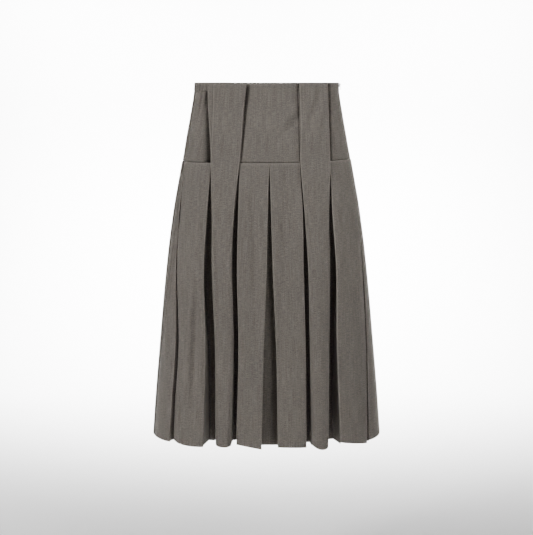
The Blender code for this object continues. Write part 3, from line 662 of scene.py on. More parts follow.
# How each panel stands at the hem, in millimetres: its edges, its twist and its middle, and how far
# its hem hangs below the level at its left, middle and right
Panel = namedtuple("Panel", "name setback twist bulge left middle right")
PANELS = [
    Panel("front_1", 2.0, 2.0, 1.0, -2.0, 3.0, 2.0),
    Panel("long_l", 12.0, 0.0, 2.0, -4.0, 0.0, -2.0),
    Panel("front_3", 4.0, 8.0, -3.0, -5.0, -1.0, 2.0),
    Panel("front_4", 3.0, 0.0, 0.0, -1.0, 0.0, 1.0),
    Panel("long_r", 12.0, 0.0, 6.0, -4.0, 6.0, 2.0),
    Panel("front_6", 3.0, 2.0, 0.0, -5.0, 1.0, 6.0),
    Panel("side_r", 2.0, 0.0, 0.0, 1.0, -1.0, 0.0),
    Panel("back_1", 3.0, 2.0, 2.0, 1.0, 3.0, -1.0),
    Panel("back_2", 6.0, -3.0, 3.0, -2.0, 2.0, 1.0),
    Panel("back_3", 3.0, 3.0, 0.0, 2.0, 0.0, -2.0),
    Panel("back_4", 4.0, -2.0, 2.0, -1.0, 4.0, 2.0),
    Panel("back_5", 7.0, 2.0, 3.0, 0.0, -2.0, 3.0),
    Panel("back_6", 3.0, -3.0, 0.0, 3.0, 1.0, -1.0),
    Panel("side_l", 2.0, 0.0, 0.0, 0.0, -1.0, 2.0),
]
FOLD, NIP, PLEAT_SEAM_GAP = 0.0028, 0.0006, 0.00004
DEPTH_SLACK, LEAST_RETURN, LEAN_RUN, SAG = 1.04, 0.0012, 0.010, 0.0009
LOWER_LEVEL, LONG_LEVEL, LEVEL_FADE = 0.001, 0.0056, 0.25
LIFT_L, LIFT_R = 0.0050, 0.0015
FOLD_ROUND, INNER_ROUND = 0.00125, 0.0004
PANEL_COLUMNS, RETURN_COLUMNS, ARC_STEPS, PLEAT_ROW = 40, 6, 4, 0.0065
# The turned hem is a little thicker, and the skirt's top edge at the hip seam gets a painted highlight, paler
# as if it caught the light
HEM_TURN_UP, HEM_EXTRA, HEM_STEP = 0.035, 0.35, 0.004
SEAM_HIGHLIGHT, SEAM_HIGHLIGHT_RUN = 0.8, 0.002


def down_share(z):
    return min(max((HIP_Z - z) / (HIP_Z - HEM_Z), 0.0), 1.0)


def pleat_row(index):
    """A pleat's row in the front's or the back's table, and whether it is one of the front's."""
    in_front = index < len(FRONT_ORDER)
    return (FRONT_PLEATS[FRONT_ORDER[index]] if in_front else BACK_PLEATS[index - len(FRONT_ORDER)]), in_front


def pleat_centre(index, z):
    pleat, in_front = pleat_row(index)
    if in_front:
        return front_pleat_centre(FRONT_ORDER[index], z)
    start = side_seam(z, "r")
    return start + pleat.share * (girth(z) - 2 * start)


def pleat_width(index, z):
    pleat, in_front = pleat_row(index)
    least = FRONT_PLEATS["centre"].widths[0]
    if in_front:
        return max(smooth(z, PLEAT_LEVELS, pleat.widths), least) * MM
    return (least + (pleat.width - least) * down_share(z)) * MM


def pleat_depth(index, z):
    pressed = FOLD + NIP
    return pressed + (pleat_row(index)[0].depth - pressed) * (1.0 - (1.0 - down_share(z)) ** 2)


def pleat_return(index, z):
    pleat, in_front = pleat_row(index)
    cloth_in_pleat = 2 * DEPTH_SLACK * pleat_depth(index, HEM_Z) + pleat_width(index, HEM_Z)
    quarter = (cloth_in_pleat - pleat_width(index, z)) / 2
    run = max((quarter ** 2 - pleat_depth(index, z) ** 2) / (2 * quarter), LEAST_RETURN)
    return min(run, pleat.longest) if in_front else run


def panel_level(panel, z):
    start = LONG_LEVEL if panel.name.startswith("long") else LOWER_LEVEL
    return start * (1.0 - ease(down_share(z) / LEVEL_FADE))


def panel_out(panel, share, z):
    across = 2.0 * share - 1.0
    shape = -panel.setback * abs(across) ** 6 + panel.twist * across + panel.bulge * (1.0 - across ** 2)
    lift = 0.0
    if z > HIP_Z:
        above = 1.0 - z / HIP_Z
        if panel.name == "long_l":
            lift = LIFT_L * above * np.maximum(across, 0.0) ** 2
        if panel.name == "long_r":
            lift = LIFT_R * above * np.maximum(-across, 0.0) ** 2
    return panel_level(panel, z) + shape * MM * down_share(z) + lift


def panel_drop(panel, share):
    across = 2.0 * share - 1.0
    sides = panel.left * across * (across - 1.0) / 2 + panel.right * across * (across + 1.0) / 2
    return (sides + panel.middle * (1.0 - across ** 2)) * MM


def fold_half(index, z, side):
    """Half a pleat's underlay, from its panel's edge in to its middle.

    Each point is way, out, drop, rounding, whether it is on a panel's face, and how much painted highlight it
    carries.
    """
    left_panel, right_panel = PANELS[index - 1], PANELS[index]
    panel = right_panel if side > 0 else left_panel
    width, depth, back = pleat_width(index, z), pleat_depth(index, z), pleat_return(index, z)
    left_out, right_out = panel_out(left_panel, 1.0, z), panel_out(right_panel, 0.0, z)
    shared = ease(down_share(z) / LEVEL_FADE)
    drop = (panel_drop(left_panel, 1.0) + panel_drop(right_panel, 0.0)) / 2
    edge = pleat_centre(index, z) + side * width / 2
    floor = shared * (left_out + right_out) / 2 + (1 - shared) * panel_level(panel, z) - depth
    corner = edge + side * max(back, LEAST_RETURN)
    pleat, in_front = pleat_row(index)
    if in_front and side > 0:
        corner -= pleat.lean * down_share(z) ** 2 * (1 + back / LEAN_RUN)
    edge_out = right_out if side > 0 else left_out
    line = [(edge, edge_out - FOLD, drop, FOLD_ROUND, 0.0, 0.0)]
    for part in np.linspace(0, 1, RETURN_COLUMNS + 1)[1:]:
        sag = SAG * math.sin(math.pi * part) * down_share(z)
        inward = edge_out - FOLD + (floor + NIP - edge_out + FOLD) * part + sag
        line.append((edge + (corner - edge) * part, inward, drop, 0.0, 0.0, 0.0))
    line[-1] = line[-1][:3] + (INNER_ROUND, 0.0, 0.0)
    line.append((corner, floor, drop, INNER_ROUND, 0.0, 0.0))
    middle = pleat_centre(index, z) + side * PLEAT_SEAM_GAP / 2
    for part in np.linspace(0, 1, RETURN_COLUMNS + 1)[1:]:
        line.append((corner + (middle - corner) * part, floor, drop, 0.0, 0.0, 0.0))
    return line


def whole_pleat(index, z):
    return fold_half(index, z, -1)[:-1] + fold_half(index, z, 1)[::-1][1:]


def panel_ends(index, z):
    """How far round a panel's two pressed edges stand."""
    after = (index + 1) % len(PANELS)
    start = pleat_centre(index, z) + pleat_width(index, z) / 2
    end = pleat_centre(after, z) - pleat_width(after, z) / 2
    return start, end + girth(z) if after == 0 else end


def panel_line(index, z, first=0.0, last=1.0):
    """A panel's points from share first to share last, its pressed edges rounded."""
    panel, (start, end) = PANELS[index], panel_ends(index, z)
    columns = PANEL_COLUMNS if first == 0.0 and last == 1.0 else 2 * PANEL_COLUMNS // 3
    shares = first + (last - first) * np.linspace(0.0, 1.0, columns + 1)
    way = start + (end - start) * shares
    line = [(w, panel_out(panel, s, z), panel_drop(panel, s), 0.0, 1.0, 0.0) for w, s in zip(way, shares)]
    # Painted highlight on the panel's pressed edges: full at its left edge, 0.6 of that at its right, and
    # fading towards the hem, as the light falls
    painted_highlight = 1.0 - 0.65 * down_share(z)
    if first == 0.0:
        line[0] = line[0][:3] + (FOLD_ROUND, 1.0, painted_highlight)
    if last == 1.0:
        line[-1] = line[-1][:3] + (FOLD_ROUND, 1.0, 0.6 * painted_highlight)
    return line


def seam_share(index, z, side):
    """Where a side seam crosses a panel, as a share of its width, and half the seam's gap there."""
    start, end = panel_ends(index, z)
    way = side_seam(z, side) + (girth(z) if side == "l" else 0.0)
    return (way - start) / (end - start), SEAM_GAP / 2 / (end - start)


def rounded(line):
    """The line with an arc in place of each corner that has a rounding."""
    points = np.array([point[:2] for point in line])
    result = []
    for number, (way, out, drop, radius, face, painted_highlight) in enumerate(line):
        if not radius:
            result.append((way, out, drop, face, painted_highlight))
            continue
        here = points[number]
        before, after = points[number - 1] - here, points[number + 1] - here
        length_before, length_after = np.linalg.norm(before), np.linalg.norm(after)
        before, after = before / length_before, after / length_after
        half_turn = math.acos(np.clip(before.dot(after), -1.0, 1.0)) / 2
        reach = min(radius / max(math.tan(half_turn), 1e-6), 0.45 * length_before, 0.45 * length_after)
        one, two = here + before * reach, here + after * reach
        for part in np.linspace(0.0, 1.0, ARC_STEPS + 1):
            bend = (1 - part) ** 2 * one + 2 * part * (1 - part) * here + part ** 2 * two
            result.append((bend[0], bend[1], drop, face, painted_highlight))
    return np.array(result)


def pleated_cloth(name, line_at, top=HIP_Z, creases=(), long_piece=False):
    """A pleated piece whose section at height z is line_at(z)."""
    drops = even_shares(top - HEM_Z, PLEAT_ROW)
    levels = [top + (HEM_Z - top) * drop for drop in drops]
    lines = [rounded(line_at(z)) for z in levels]
    way = np.array([line[:, 0] for line in lines])
    out = np.array([line[:, 1] for line in lines])
    face = np.array([line[:, 3] for line in lines])
    pressed = np.array([line[:, 4] for line in lines])
    height, roll, thick = np.zeros_like(way), np.zeros_like(way), np.zeros(len(levels))
    for row, z in enumerate(levels):
        low = down_share(z)
        x = on_body(z, way[row], 0.0)[0]
        height[row] = z - lines[row][:, 2] * low ** 3
        if z <= HIP_Z and not long_piece:
            height[row] += hip_rise(x) * (1.0 - low) ** 6
            # Painted highlight along the skirt's top edge just under the hip seam
            painted_highlight = SEAM_HIGHLIGHT * np.clip(1.0 - (top - z) / SEAM_HIGHLIGHT_RUN, 0.0, 1.0)
            pressed[row] = np.maximum(pressed[row], painted_highlight)
        on_face = face[row] + (1.0 - face[row]) * ease(low / 0.1)
        out[row] += on_face * creased(creases, x, z)
        along = np.concatenate([[0.0], np.cumsum(np.hypot(np.diff(way[row]), np.diff(out[row])))])
        out[row] += ease(low / 0.04) * seam_dip(np.minimum(along, along[-1] - along))
        roll[row] = rolled(min(top - z, z - HEM_Z))
        thick[row] = CLOTH_THICK * (1.0 + HEM_EXTRA * ease((HEM_Z + HEM_TURN_UP - z) / HEM_STEP))
    return cloth_mesh(name, levels, way, out, height, cloth, roll, thick, pressed)


def centre_line(z):
    line = fold_half(2, z, 1)[::-1] + panel_line(2, z) + whole_pleat(3, z)
    return line + panel_line(3, z) + fold_half(4, z, -1)


def front_l_line(z):
    share, gap = seam_share(13, z, "l")
    side = [(point[0] - girth(z),) + point[1:] for point in panel_line(13, z, first=share + gap)]
    return side + whole_pleat(0, z) + panel_line(0, z) + fold_half(1, z, -1)


def front_r_line(z):
    share, gap = seam_share(6, z, "r")
    line = fold_half(5, z, 1)[::-1] + panel_line(5, z) + whole_pleat(6, z)
    return line + panel_line(6, z, last=share - gap)


def back_r_line(z):
    share, gap = seam_share(6, z, "r")
    line = panel_line(6, z, first=share + gap)
    for index in (7, 8, 9):
        line += whole_pleat(index, z) + panel_line(index, z)
    return line + fold_half(10, z, -1)


def back_l_line(z):
    share, gap = seam_share(13, z, "l")
    line = fold_half(10, z, 1)[::-1] + panel_line(10, z)
    for index in (11, 12):
        line += whole_pleat(index, z) + panel_line(index, z)
    return line + whole_pleat(13, z) + panel_line(13, z, last=share - gap)


CENTRE_CREASES = [
    Crease(-0.0460, -0.208, -0.0485, -0.518, 8, 8, 3.4, 3.4, 1),
    Crease(-0.0320, -0.222, -0.0251, -0.623, 8, 8, -4.0, -4.0, 1),
    Crease(0.0453, -0.194, 0.0407, -0.417, 12, 13, -8.0, -7.5, 1),
    Crease(0.0406, -0.356, 0.0257, -0.790, 11, 11, -6.0, -5.2, 1),
    Crease(0.0689, -0.506, 0.0720, -0.854, 12, 12, 2.0, 2.0, 1),
]
FRONT_L_CREASES = [
    Crease(-0.1502, -0.209, -0.1926, -0.763, 8, 8, 6.6, 6.8, 1),
    Crease(-0.1621, -0.275, -0.1781, -0.809, 7, 7, -5.8, -6.2, 1),
    Crease(-0.1526, -0.438, -0.1562, -0.795, 4, 4, 2.4, 2.4, 1),
    Crease(-0.2015, -0.329, -0.1979, -0.536, 6, 6, -1.6, -1.6, 1),
    Crease(-0.2079, -0.748, -0.2076, -0.880, 2.2, 2.2, -1.6, -2.6, 0),
    Crease(-0.2250, -0.765, -0.2300, -0.890, 8, 13, -2.0, -8.0, 0),
    Crease(-0.2552, -0.771, -0.2291, -0.750, 3, 3, -1.6, -1.6, 1),
    Crease(-0.2447, -0.403, -0.2391, -0.758, 7, 7, 2.4, 2.4, 1),
    Crease(-0.1990, -0.190, -0.2600, -0.660, 1.5, 1.6, -4.0, -4.4, 0),
    Crease(-0.1975, -0.232, -0.2480, -0.620, 1.5, 1.6, -2.6, -3.0, 1),
]
FRONT_R_CREASES = [
    Crease(0.1689, -0.210, 0.1738, -0.510, 8, 8, 1.9, 1.9, 1),
    Crease(0.1887, -0.583, 0.1961, -0.862, 12, 12, -2.2, -2.2, 1),
    Crease(0.2171, -0.279, 0.2237, -0.587, 7, 7, 1.4, 1.4, 1),
    Crease(0.2480, -0.640, 0.2560, -0.860, 4, 4, -1.4, -1.6, 1),
]
BACK_R_CREASES = [
    Crease(0.1710, -0.215, 0.2080, -0.560, 9, 10, 1.6, 1.9, 1),
    Crease(0.1160, -0.230, 0.1290, -0.640, 9, 11, -1.8, -2.1, 1),
    Crease(0.0400, -0.210, 0.0520, -0.470, 10, 12, 2.0, 2.2, 1),
    Crease(0.0820, -0.430, 0.0790, -0.815, 9, 9, 1.4, 1.5, 1),
    Crease(0.1730, -0.520, 0.1850, -0.850, 11, 11, -1.7, -1.7, 1),
]
BACK_L_CREASES = [
    Crease(-0.0270, -0.205, -0.0410, -0.590, 12, 13, -2.4, -2.6, 1),
    Crease(-0.0960, -0.220, -0.1090, -0.450, 8, 9, 1.5, 1.7, 1),
    Crease(-0.0880, -0.500, -0.0830, -0.845, 10, 10, 1.3, 1.3, 1),
    Crease(-0.1560, -0.240, -0.1830, -0.700, 10, 11, -1.9, -2.0, 1),
    Crease(-0.2050, -0.300, -0.2330, -0.620, 8, 8, 1.4, 1.4, 1),
]
# The width, length and area of each flat cut, with its pleats opened out
SkirtPiece = namedtuple("SkirtPiece", "name line_at node creases width length area")
SKIRT_PIECES = (
    SkirtPiece("centre_skirt", centre_line, "skirt_front_centre", CENTRE_CREASES, 0.346, 0.672, 0.2255),
    SkirtPiece("front_skirt_l", front_l_line, "skirt_front_l", FRONT_L_CREASES, 0.269, 0.675, 0.1554),
    SkirtPiece("front_skirt_r", front_r_line, "skirt_front_r", FRONT_R_CREASES, 0.275, 0.685, 0.1579),
    SkirtPiece("back_skirt_r", back_r_line, "skirt_back_r", BACK_R_CREASES, 0.581, 0.674, 0.3820),
    SkirtPiece("back_skirt_l", back_l_line, "skirt_back_l", BACK_L_CREASES, 0.621, 0.676, 0.4039),
)
for made in SKIRT_PIECES:
    piece = pleated_cloth(made.name, made.line_at, creases=made.creases)
    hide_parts(made.node)
    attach(piece, "skirt")

# Long pleats
# Two pleats are cut in one from the waist to the hem and lie on the yokes above the hip. The left
# one shows a wedge of its inner layer beside its fold, and its right edge stands off at the top.
WEDGE = (0.0170, 0.0135, 0.0075, 0.0)


def long_line(index, z):
    before, after = fold_half(index, z, 1)[::-1], fold_half(index + 1, z, -1)
    if z > HIP_Z and PANELS[index].name == "long_l":
        shown = smooth(z, UPPER_LEVELS + (HIP_Z,), WEDGE)
        far = RETURN_COLUMNS
        for step in range(far + 1):
            before[step] = (before[step][0] - shown,) + before[step][1:]
        for step in range(far + 1, len(before)):
            part = (len(before) - 1 - step) / (len(before) - 1 - far)
            before[step] = (before[step][0] - shown * part,) + before[step][1:]
    return before + panel_line(index, z) + after


LONG_L_CREASES = [
    Crease(-0.1285, -0.007, -0.1268, -0.016, 1.5, 1.5, -3.0, -1.5, 0),
    Crease(-0.1158, -0.013, -0.1178, -0.308, 7, 7, 2.0, 2.6, 1),
    Crease(-0.1190, -0.332, -0.1135, -0.578, 6, 6, -3.6, -3.6, 1),
    Crease(-0.0918, -0.331, -0.0886, -0.577, 7, 7, 3.0, 3.0, 1),
    Crease(-0.1130, -0.150, -0.0700, -0.178, 7, 7, -1.6, -1.6, 1),
]
LONG_R_CREASES = [
    Crease(0.1259, -0.014, 0.0877, -0.138, 6, 6, -4.2, -4.2, 1),
    Crease(0.1379, -0.029, 0.1113, -0.148, 7, 7, 3.0, 3.0, 1),
    Crease(0.0982, -0.199, 0.1017, -0.308, 6, 6, -2.2, -2.2, 1),
    Crease(0.1171, -0.301, 0.1269, -0.856, 15, 17, 5.4, 5.0, 1),
]
for name, index, top, node, creases, flat, area in (
        ("long_front_pleat_l", 1, FRONT_TOP_Z, "long_pleat_l", LONG_L_CREASES, (0.191, 0.859), 0.1435),
        ("long_front_pleat_r", 4, -SEAM_GAP, "long_pleat_r", LONG_R_CREASES, (0.168, 0.871), 0.1355)):
    piece = pleated_cloth(name, lambda z: long_line(index, z), top=top, creases=creases, long_piece=True)
    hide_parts(node)
    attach(piece, "skirt")

# Concealed zip
# Two woven tapes are sewn inside the right side seam as seen from the front, their folded edges
# together under the cloth. A coil of nylon runs down behind them, and only the slider shows.
TAPE_HALF_WIDTH, TAPE_THICK, TAPE_INSIDE = 0.011, 0.0006, 0.0018
TAPE_TOP_Z, TAPE_END_Z = -0.003, -0.176
GROOVE_DEPTH, GROOVE_HALF_WIDTH = 0.0005, 0.0007
COIL_PITCH, COIL_HALF_WIDTH, COIL_HALF_DEPTH, COIL_THREAD = 0.00115, 0.0021, 0.0007, 0.00030
COIL_CLEAR, COIL_BELOW_TOP, COIL_ABOVE_END, COIL_SLANT = 0.0004, 0.002, 0.004, 14.0


def woven_tape(name):
    """Dark taupe polyester tape in a fine twill."""
    material = two_tone(name, 0.7, "Wave", 260.0, (0.034, 0.030, 0.026), (0.066, 0.059, 0.051))
    nodes, links = material.node_tree.nodes, material.node_tree.links
    twill, bump = nodes["pattern"], nodes.new("ShaderNodeBump")
    twill.bands_direction = "DIAGONAL"
    twill.inputs["Distortion"].default_value = 0.6
    bump.inputs["Strength"].default_value = 0.3
    bump.inputs["Distance"].default_value = 0.0002
    links.new(twill.outputs["Fac"], bump.inputs["Height"])
    links.new(bump.outputs["Normal"], nodes["Principled BSDF"].inputs["Normal"])
    return material


def zip_tape():
    """Both tapes as one thin strip down the seam, with the groove where their folded edges meet."""
    across = TAPE_HALF_WIDTH * np.linspace(-1.0, 1.0, 41)
    levels = np.linspace(TAPE_TOP_Z, TAPE_END_Z, 60)
    way = np.array([side_seam(z, "r") + across for z in levels])
    groove = GROOVE_DEPTH * np.exp(-(across / GROOVE_HALF_WIDTH) ** 2)
    out = np.zeros_like(way) - TAPE_INSIDE - groove
    height = levels[:, None] + np.zeros_like(way)
    return cloth_mesh("zip_tapes", list(levels), way, out, height, woven_tape("zip tape"), np.zeros_like(way),
                      thick=np.full(len(levels), TAPE_THICK))


def coil_tree():
    """One flattened ring for each turn of the coil, spaced down a line."""
    tree, given, laid = laying_tree("zip coil", ("Half width", "Half depth", "Thread"))
    nodes, links = tree.nodes, tree.links
    ring = nodes.new("GeometryNodeCurvePrimitiveCircle")
    ring.inputs["Resolution"].default_value = 10
    ring.inputs["Radius"].default_value = 1.0
    size = nodes.new("ShaderNodeCombineXYZ")
    links.new(given.outputs["Half depth"], size.inputs["X"])
    links.new(given.outputs["Half width"], size.inputs["Y"])
    size.inputs["Z"].default_value = 1.0
    flat = nodes.new("GeometryNodeTransform")
    links.new(ring.outputs["Curve"], flat.inputs["Geometry"])
    links.new(size.outputs["Vector"], flat.inputs["Scale"])
    profile = nodes.new("GeometryNodeCurvePrimitiveCircle")
    profile.inputs["Resolution"].default_value = 4
    links.new(given.outputs["Thread"], profile.inputs["Radius"])
    wire = nodes.new("GeometryNodeCurveToMesh")
    links.new(flat.outputs["Geometry"], wire.inputs["Curve"])
    links.new(profile.outputs["Curve"], wire.inputs["Profile Curve"])
    laid.inputs["Rotation"].default_value = (math.radians(COIL_SLANT), 0.0, 0.0)
    links.new(wire.outputs["Mesh"], laid.inputs["Instance"])
    return tree


tapes = zip_tape()
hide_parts("zip_tape")
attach(tapes, "skirt")

coil_out = -TAPE_INSIDE - TAPE_THICK - COIL_HALF_DEPTH - COIL_THREAD - COIL_CLEAR
coil_line = []
for z in np.linspace(TAPE_TOP_Z - COIL_BELOW_TOP, TAPE_END_Z + COIL_ABOVE_END, 50):
    x, y = on_body(z, side_seam(z, "r"), coil_out)
    coil_line.append((x, y, z))
coil_sizes = {"Pitch": COIL_PITCH, "Half width": COIL_HALF_WIDTH, "Half depth": COIL_HALF_DEPTH,
              "Thread": COIL_THREAD}
nylon = two_tone("coil nylon", 0.35, "Noise", 900.0, (0.040, 0.036, 0.031), (0.072, 0.066, 0.058))
coil = made_by(coil_tree(), path_object("coil_line", coil_line), "zip_coil", coil_sizes, nylon)
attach(coil, "skirt")

# Slider and pull
# A small cast slider with a bridge, and a pressed pull tab that hangs from it by its eye. Both are
# zinc with a dark enamel, worn a little brighter where they rub.
SLIDER_TOP_Z, SLIDER_THICK = -0.0010, 0.0014
SLIDER_SEAT, SLIDER_ROUND, BRIDGE_SUNK = 0.0004, 0.0004, 0.0003
# Half outlines in millimetres: each point's height, and how far it is from the middle
SLIDER_SHAPE = [(0.0, 1.7), (-0.3, 2.2), (-1.1, 2.5), (-4.0, 2.5), (-6.6, 2.2), (-8.8, 2.0), (-9.4, 1.5),
                (-9.5, 0.8)]
BRIDGE_WIDTH, BRIDGE_THICK, BRIDGE_ROOM, BRIDGE_TOP, BRIDGE_FOOT = 0.0016, 0.0009, 0.0022, 0.0009, 0.0058
PULL_THICK, PULL_RIM, HINGE_DROP = 0.0010, 0.0002, 0.0033
PULL_SHAPE = [(0.5, 0.0), (0.5, 1.7), (0.2, 2.3), (-0.6, 2.5), (-3.0, 2.4), (-8.0, 2.0), (-12.0, 2.4),
              (-12.9, 2.2), (-13.4, 1.7), (-13.5, 0.0)]
EYE_SHAPE = [(-0.5, 0.0), (-0.55, 0.9), (-0.9, 1.35), (-1.5, 1.5), (-5.2, 1.5), (-5.8, 1.3), (-6.1, 0.8),
             (-6.1, 0.0)]


def enamel(name):
    """Dark enamelled zinc: brown black, half gloss, with faint rubbed patches."""
    material = two_tone(name, 0.5, "Noise", 700.0, (0.026, 0.023, 0.020), (0.085, 0.078, 0.070))
    nodes, links = material.node_tree.nodes, material.node_tree.links
    shader, rubbed, shades = nodes["Principled BSDF"], nodes["pattern"], nodes["shades"]
    shader.inputs["Metallic"].default_value = 0.85
    rubbed.inputs["Detail"].default_value = 4.0
    shades.color_ramp.elements[0].position = 0.45
    shades.color_ramp.elements[1].position = 0.75
    gloss = nodes.new("ShaderNodeMapRange")
    gloss.inputs["To Min"].default_value = 0.30
    gloss.inputs["To Max"].default_value = 0.52
    links.new(rubbed.outputs["Fac"], gloss.inputs["Value"])
    links.new(gloss.outputs["Result"], shader.inputs["Roughness"])
    return material


def plain_object(name, shape, material):
    """A mesh object from a bmesh, its faces turned outwards and its sharp corners kept."""
    bmesh.ops.recalc_face_normals(shape, faces=shape.faces)
    mesh = bpy.data.meshes.new(name)
    shape.to_mesh(mesh)
    shape.free()
    mesh.polygons.foreach_set("use_smooth", np.ones(len(mesh.polygons), dtype=bool))
    mesh.set_sharp_from_angle(angle=math.radians(50.0))
    mesh.materials.append(material)
    return placed(name, mesh)


def mirrored(half_outline):
    """A closed outline in millimetres from its right half, as (y, z) in metres."""
    right = [(y * MM, z * MM) for z, y in half_outline]
    return right + [(-y, z) for y, z in reversed(right) if y > 0]


def slider_shape(seat):
    """The flat body of the slider, rounded at its rim, with the bridge standing on it."""
    shape = bmesh.new()
    outline = mirrored(SLIDER_SHAPE)
    corners = [shape.verts.new((seat, y, SLIDER_TOP_Z + z)) for y, z in outline]
    front = bmesh.ops.extrude_face_region(shape, geom=[shape.faces.new(corners)])["geom"]
    moved = [part for part in front if isinstance(part, bmesh.types.BMVert)]
    bmesh.ops.translate(shape, verts=moved, vec=(SLIDER_THICK, 0.0, 0.0))
    rim = [edge for edge in shape.edges if all(abs(v.co.x - seat - SLIDER_THICK) < 1e-7 for v in edge.verts)]
    bmesh.ops.bevel(shape, geom=rim, offset=SLIDER_ROUND, segments=3, profile=0.5, affect="EDGES")
    face, middle = seat + SLIDER_THICK, SLIDER_TOP_Z - (BRIDGE_TOP + BRIDGE_FOOT) / 2
    tall, reach = (BRIDGE_FOOT - BRIDGE_TOP - BRIDGE_THICK) / 2, BRIDGE_ROOM + BRIDGE_THICK / 2
    rings = []
    for turn in np.linspace(0.0, math.pi, 21):
        x = face - BRIDGE_SUNK + (reach + BRIDGE_SUNK) * math.sin(turn) ** 0.5
        z = middle + tall * math.cos(turn)
        heading = np.array([math.sin(turn), math.cos(turn) * 0.9])
        heading /= np.linalg.norm(heading)
        ring = []
        for side in np.linspace(0.0, 2 * math.pi, 12, endpoint=False):
            thick = BRIDGE_THICK / 2 * np.sign(math.cos(side)) * abs(math.cos(side)) ** 0.5
            wide = BRIDGE_WIDTH / 2 * np.sign(math.sin(side)) * abs(math.sin(side)) ** 0.5
            ring.append(shape.verts.new((x + heading[0] * thick, wide, z + heading[1] * thick)))
        rings.append(ring)
    for ring, after in zip(rings, rings[1:]):
        for number in range(len(ring)):
            nearby = (number + 1) % len(ring)
            shape.faces.new((ring[number], ring[nearby], after[nearby], after[number]))
    shape.faces.new(rings[0])
    shape.faces.new(rings[-1])
    return shape


def even_outline(outline, count):
    """The outline sampled at even steps, each corner rounded off by the sampling."""
    loop = np.array(outline + outline[:1])
    along = np.concatenate([[0.0], np.cumsum(np.linalg.norm(np.diff(loop, axis=0), axis=1))])
    steps = np.linspace(0.0, along[-1], count, endpoint=False)
    return np.stack([np.interp(steps, along, loop[:, 0]), np.interp(steps, along, loop[:, 1])], axis=1)


def pull_shape(pivot_x, pivot_z):
    """The pull tab: a plate with an eye, both its rims rounded."""
    count = 64
    outer, eye = even_outline(mirrored(PULL_SHAPE), count), even_outline(mirrored(EYE_SHAPE), count)
    rings = []
    for loop, sign in ((outer, -1.0), (eye, 1.0)):
        middle = loop.mean(axis=0)
        away = (loop - middle) / np.linalg.norm(loop - middle, axis=1)[:, None]
        for inset, x in ((1.0, 1.0), (0.3, 0.85), (0.0, 0.55), (0.0, -0.55), (0.3, -0.85), (1.0, -1.0)):
            points = loop + sign * inset * PULL_RIM * away
            rings.append([(pivot_x + x * PULL_THICK / 2, y, pivot_z + z) for y, z in points])
    shape = bmesh.new()
    corners = [[shape.verts.new(point) for point in ring] for ring in rings]
    for one, two in [(i, i + 1) for i in range(5)] + [(i, i + 1) for i in range(6, 11)] + [(0, 6), (5, 11)]:
        for number in range(count):
            after = (number + 1) % count
            shape.faces.new((corners[one][number], corners[one][after], corners[two][after],
                             corners[two][number]))
    return shape


slider_foot_z = SLIDER_TOP_Z + SLIDER_SHAPE[-1][0] * MM
seat = float(on_body(slider_foot_z, side_seam(slider_foot_z, "r"), 0.0)[0]) + SLIDER_SEAT
dark_enamel = enamel("dark enamel")
slider = plain_object("slider", slider_shape(seat), dark_enamel)
pull = plain_object("pull_tab", pull_shape(seat + SLIDER_THICK + BRIDGE_ROOM / 2, SLIDER_TOP_Z - HINGE_DROP),
                    dark_enamel)
for piece, node, body in ((slider, "zip_slider", "skirt"), (pull, "zip_pull", "pull")):
    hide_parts(node)
    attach(piece, body)

# Camera, light and floor
# The camera stands level with the waist and looks a little down, as the photo's did. The skirt hangs
# over a plain pale sweep of paper. A strong lamp at the left and two weak ones at the right shade its
# folds, and two more light the paper.
PHOTO_FOCAL, PHOTO_SIDE, SENSOR = 1277.0, 535.0, 36.0
camera = placed("camera", bpy.data.cameras.new("camera"))
camera.location = (0.0, -3.0896, -0.0130)
camera.rotation_euler = (math.radians(82.0), 0.0, 0.0)
camera.data.sensor_width = SENSOR
camera.data.lens = PHOTO_FOCAL * SENSOR / PHOTO_SIDE
bpy.context.scene.camera = camera

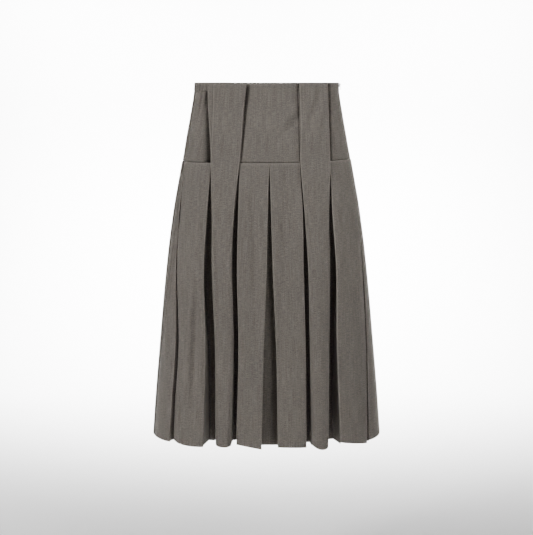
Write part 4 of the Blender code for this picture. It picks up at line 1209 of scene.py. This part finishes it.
FLOOR_Z, BEND_FROM, BEND = -1.30, 2.2, 1.2
SWEEP = [(-6.0, 0.0), (BEND_FROM, 0.0)]
for turn in np.linspace(0.1, math.pi / 2, 12):
    SWEEP.append((BEND_FROM + BEND * math.sin(turn), BEND * (1 - math.cos(turn))))
SWEEP += [(BEND_FROM + BEND, 5.0)]
points = [(x, y, FLOOR_Z + z) for x in (-7.0, 7.0) for y, z in SWEEP]
count = len(SWEEP)
floor_mesh = bpy.data.meshes.new("floor")
floor_mesh.from_pydata(points, [], [(i, i + 1, i + 1 + count, i + count) for i in range(count - 1)])
floor_mesh.polygons.foreach_set("use_smooth", np.ones(count - 1, dtype=bool))
paper = bpy.data.materials.new("pale paper")
paper.use_nodes = True
paper.node_tree.nodes["Principled BSDF"].inputs["Base Color"].default_value = (0.92, 0.92, 0.92, 1.0)
paper.node_tree.nodes["Principled BSDF"].inputs["Roughness"].default_value = 0.9
floor_mesh.materials.append(paper)
floor = placed("floor", floor_mesh)

Lamp = namedtuple("Lamp", "name place aim size power spread")
LAMPS = [
    Lamp("left", (-3.0, -2.5, 1.6), (0.0, 0.0, 0.05), 0.8, 48.5, 110.0),
    Lamp("right", (1.9, -3.1, 1.7), (0.0, 0.0, 0.10), 1.0, 20.0, 110.0),
    Lamp("right_side", (3.2, -0.8, 1.6), (0.17, 0.0, 0.10), 0.8, 3.5, 40.0),
    Lamp("backdrop_l", (-2.2, 1.8, 1.6), (0.0, 3.2, -0.5), 1.2, 280.0, 80.0),
    Lamp("backdrop_r", (2.2, 1.8, 1.6), (0.0, 3.2, -0.5), 1.2, 280.0, 80.0),
]
for lamp in LAMPS:
    light = bpy.data.lights.new(lamp.name, "AREA")
    light.size = lamp.size
    light.energy = lamp.power
    light.spread = math.radians(lamp.spread)
    holder = placed(lamp.name, light)
    holder.location = lamp.place
    aim = np.array(lamp.aim) - np.array(lamp.place)
    holder.rotation_euler = (math.atan2(math.hypot(aim[0], aim[1]), -aim[2]), 0.0,
                             math.atan2(aim[1], aim[0]) - math.pi / 2)
world = bpy.data.worlds.new("studio")
world.use_nodes = True
world.node_tree.nodes["Background"].inputs["Color"].default_value = (1.0, 1.0, 1.0, 1.0)
world.node_tree.nodes["Background"].inputs["Strength"].default_value = 0.035
bpy.context.scene.world = world
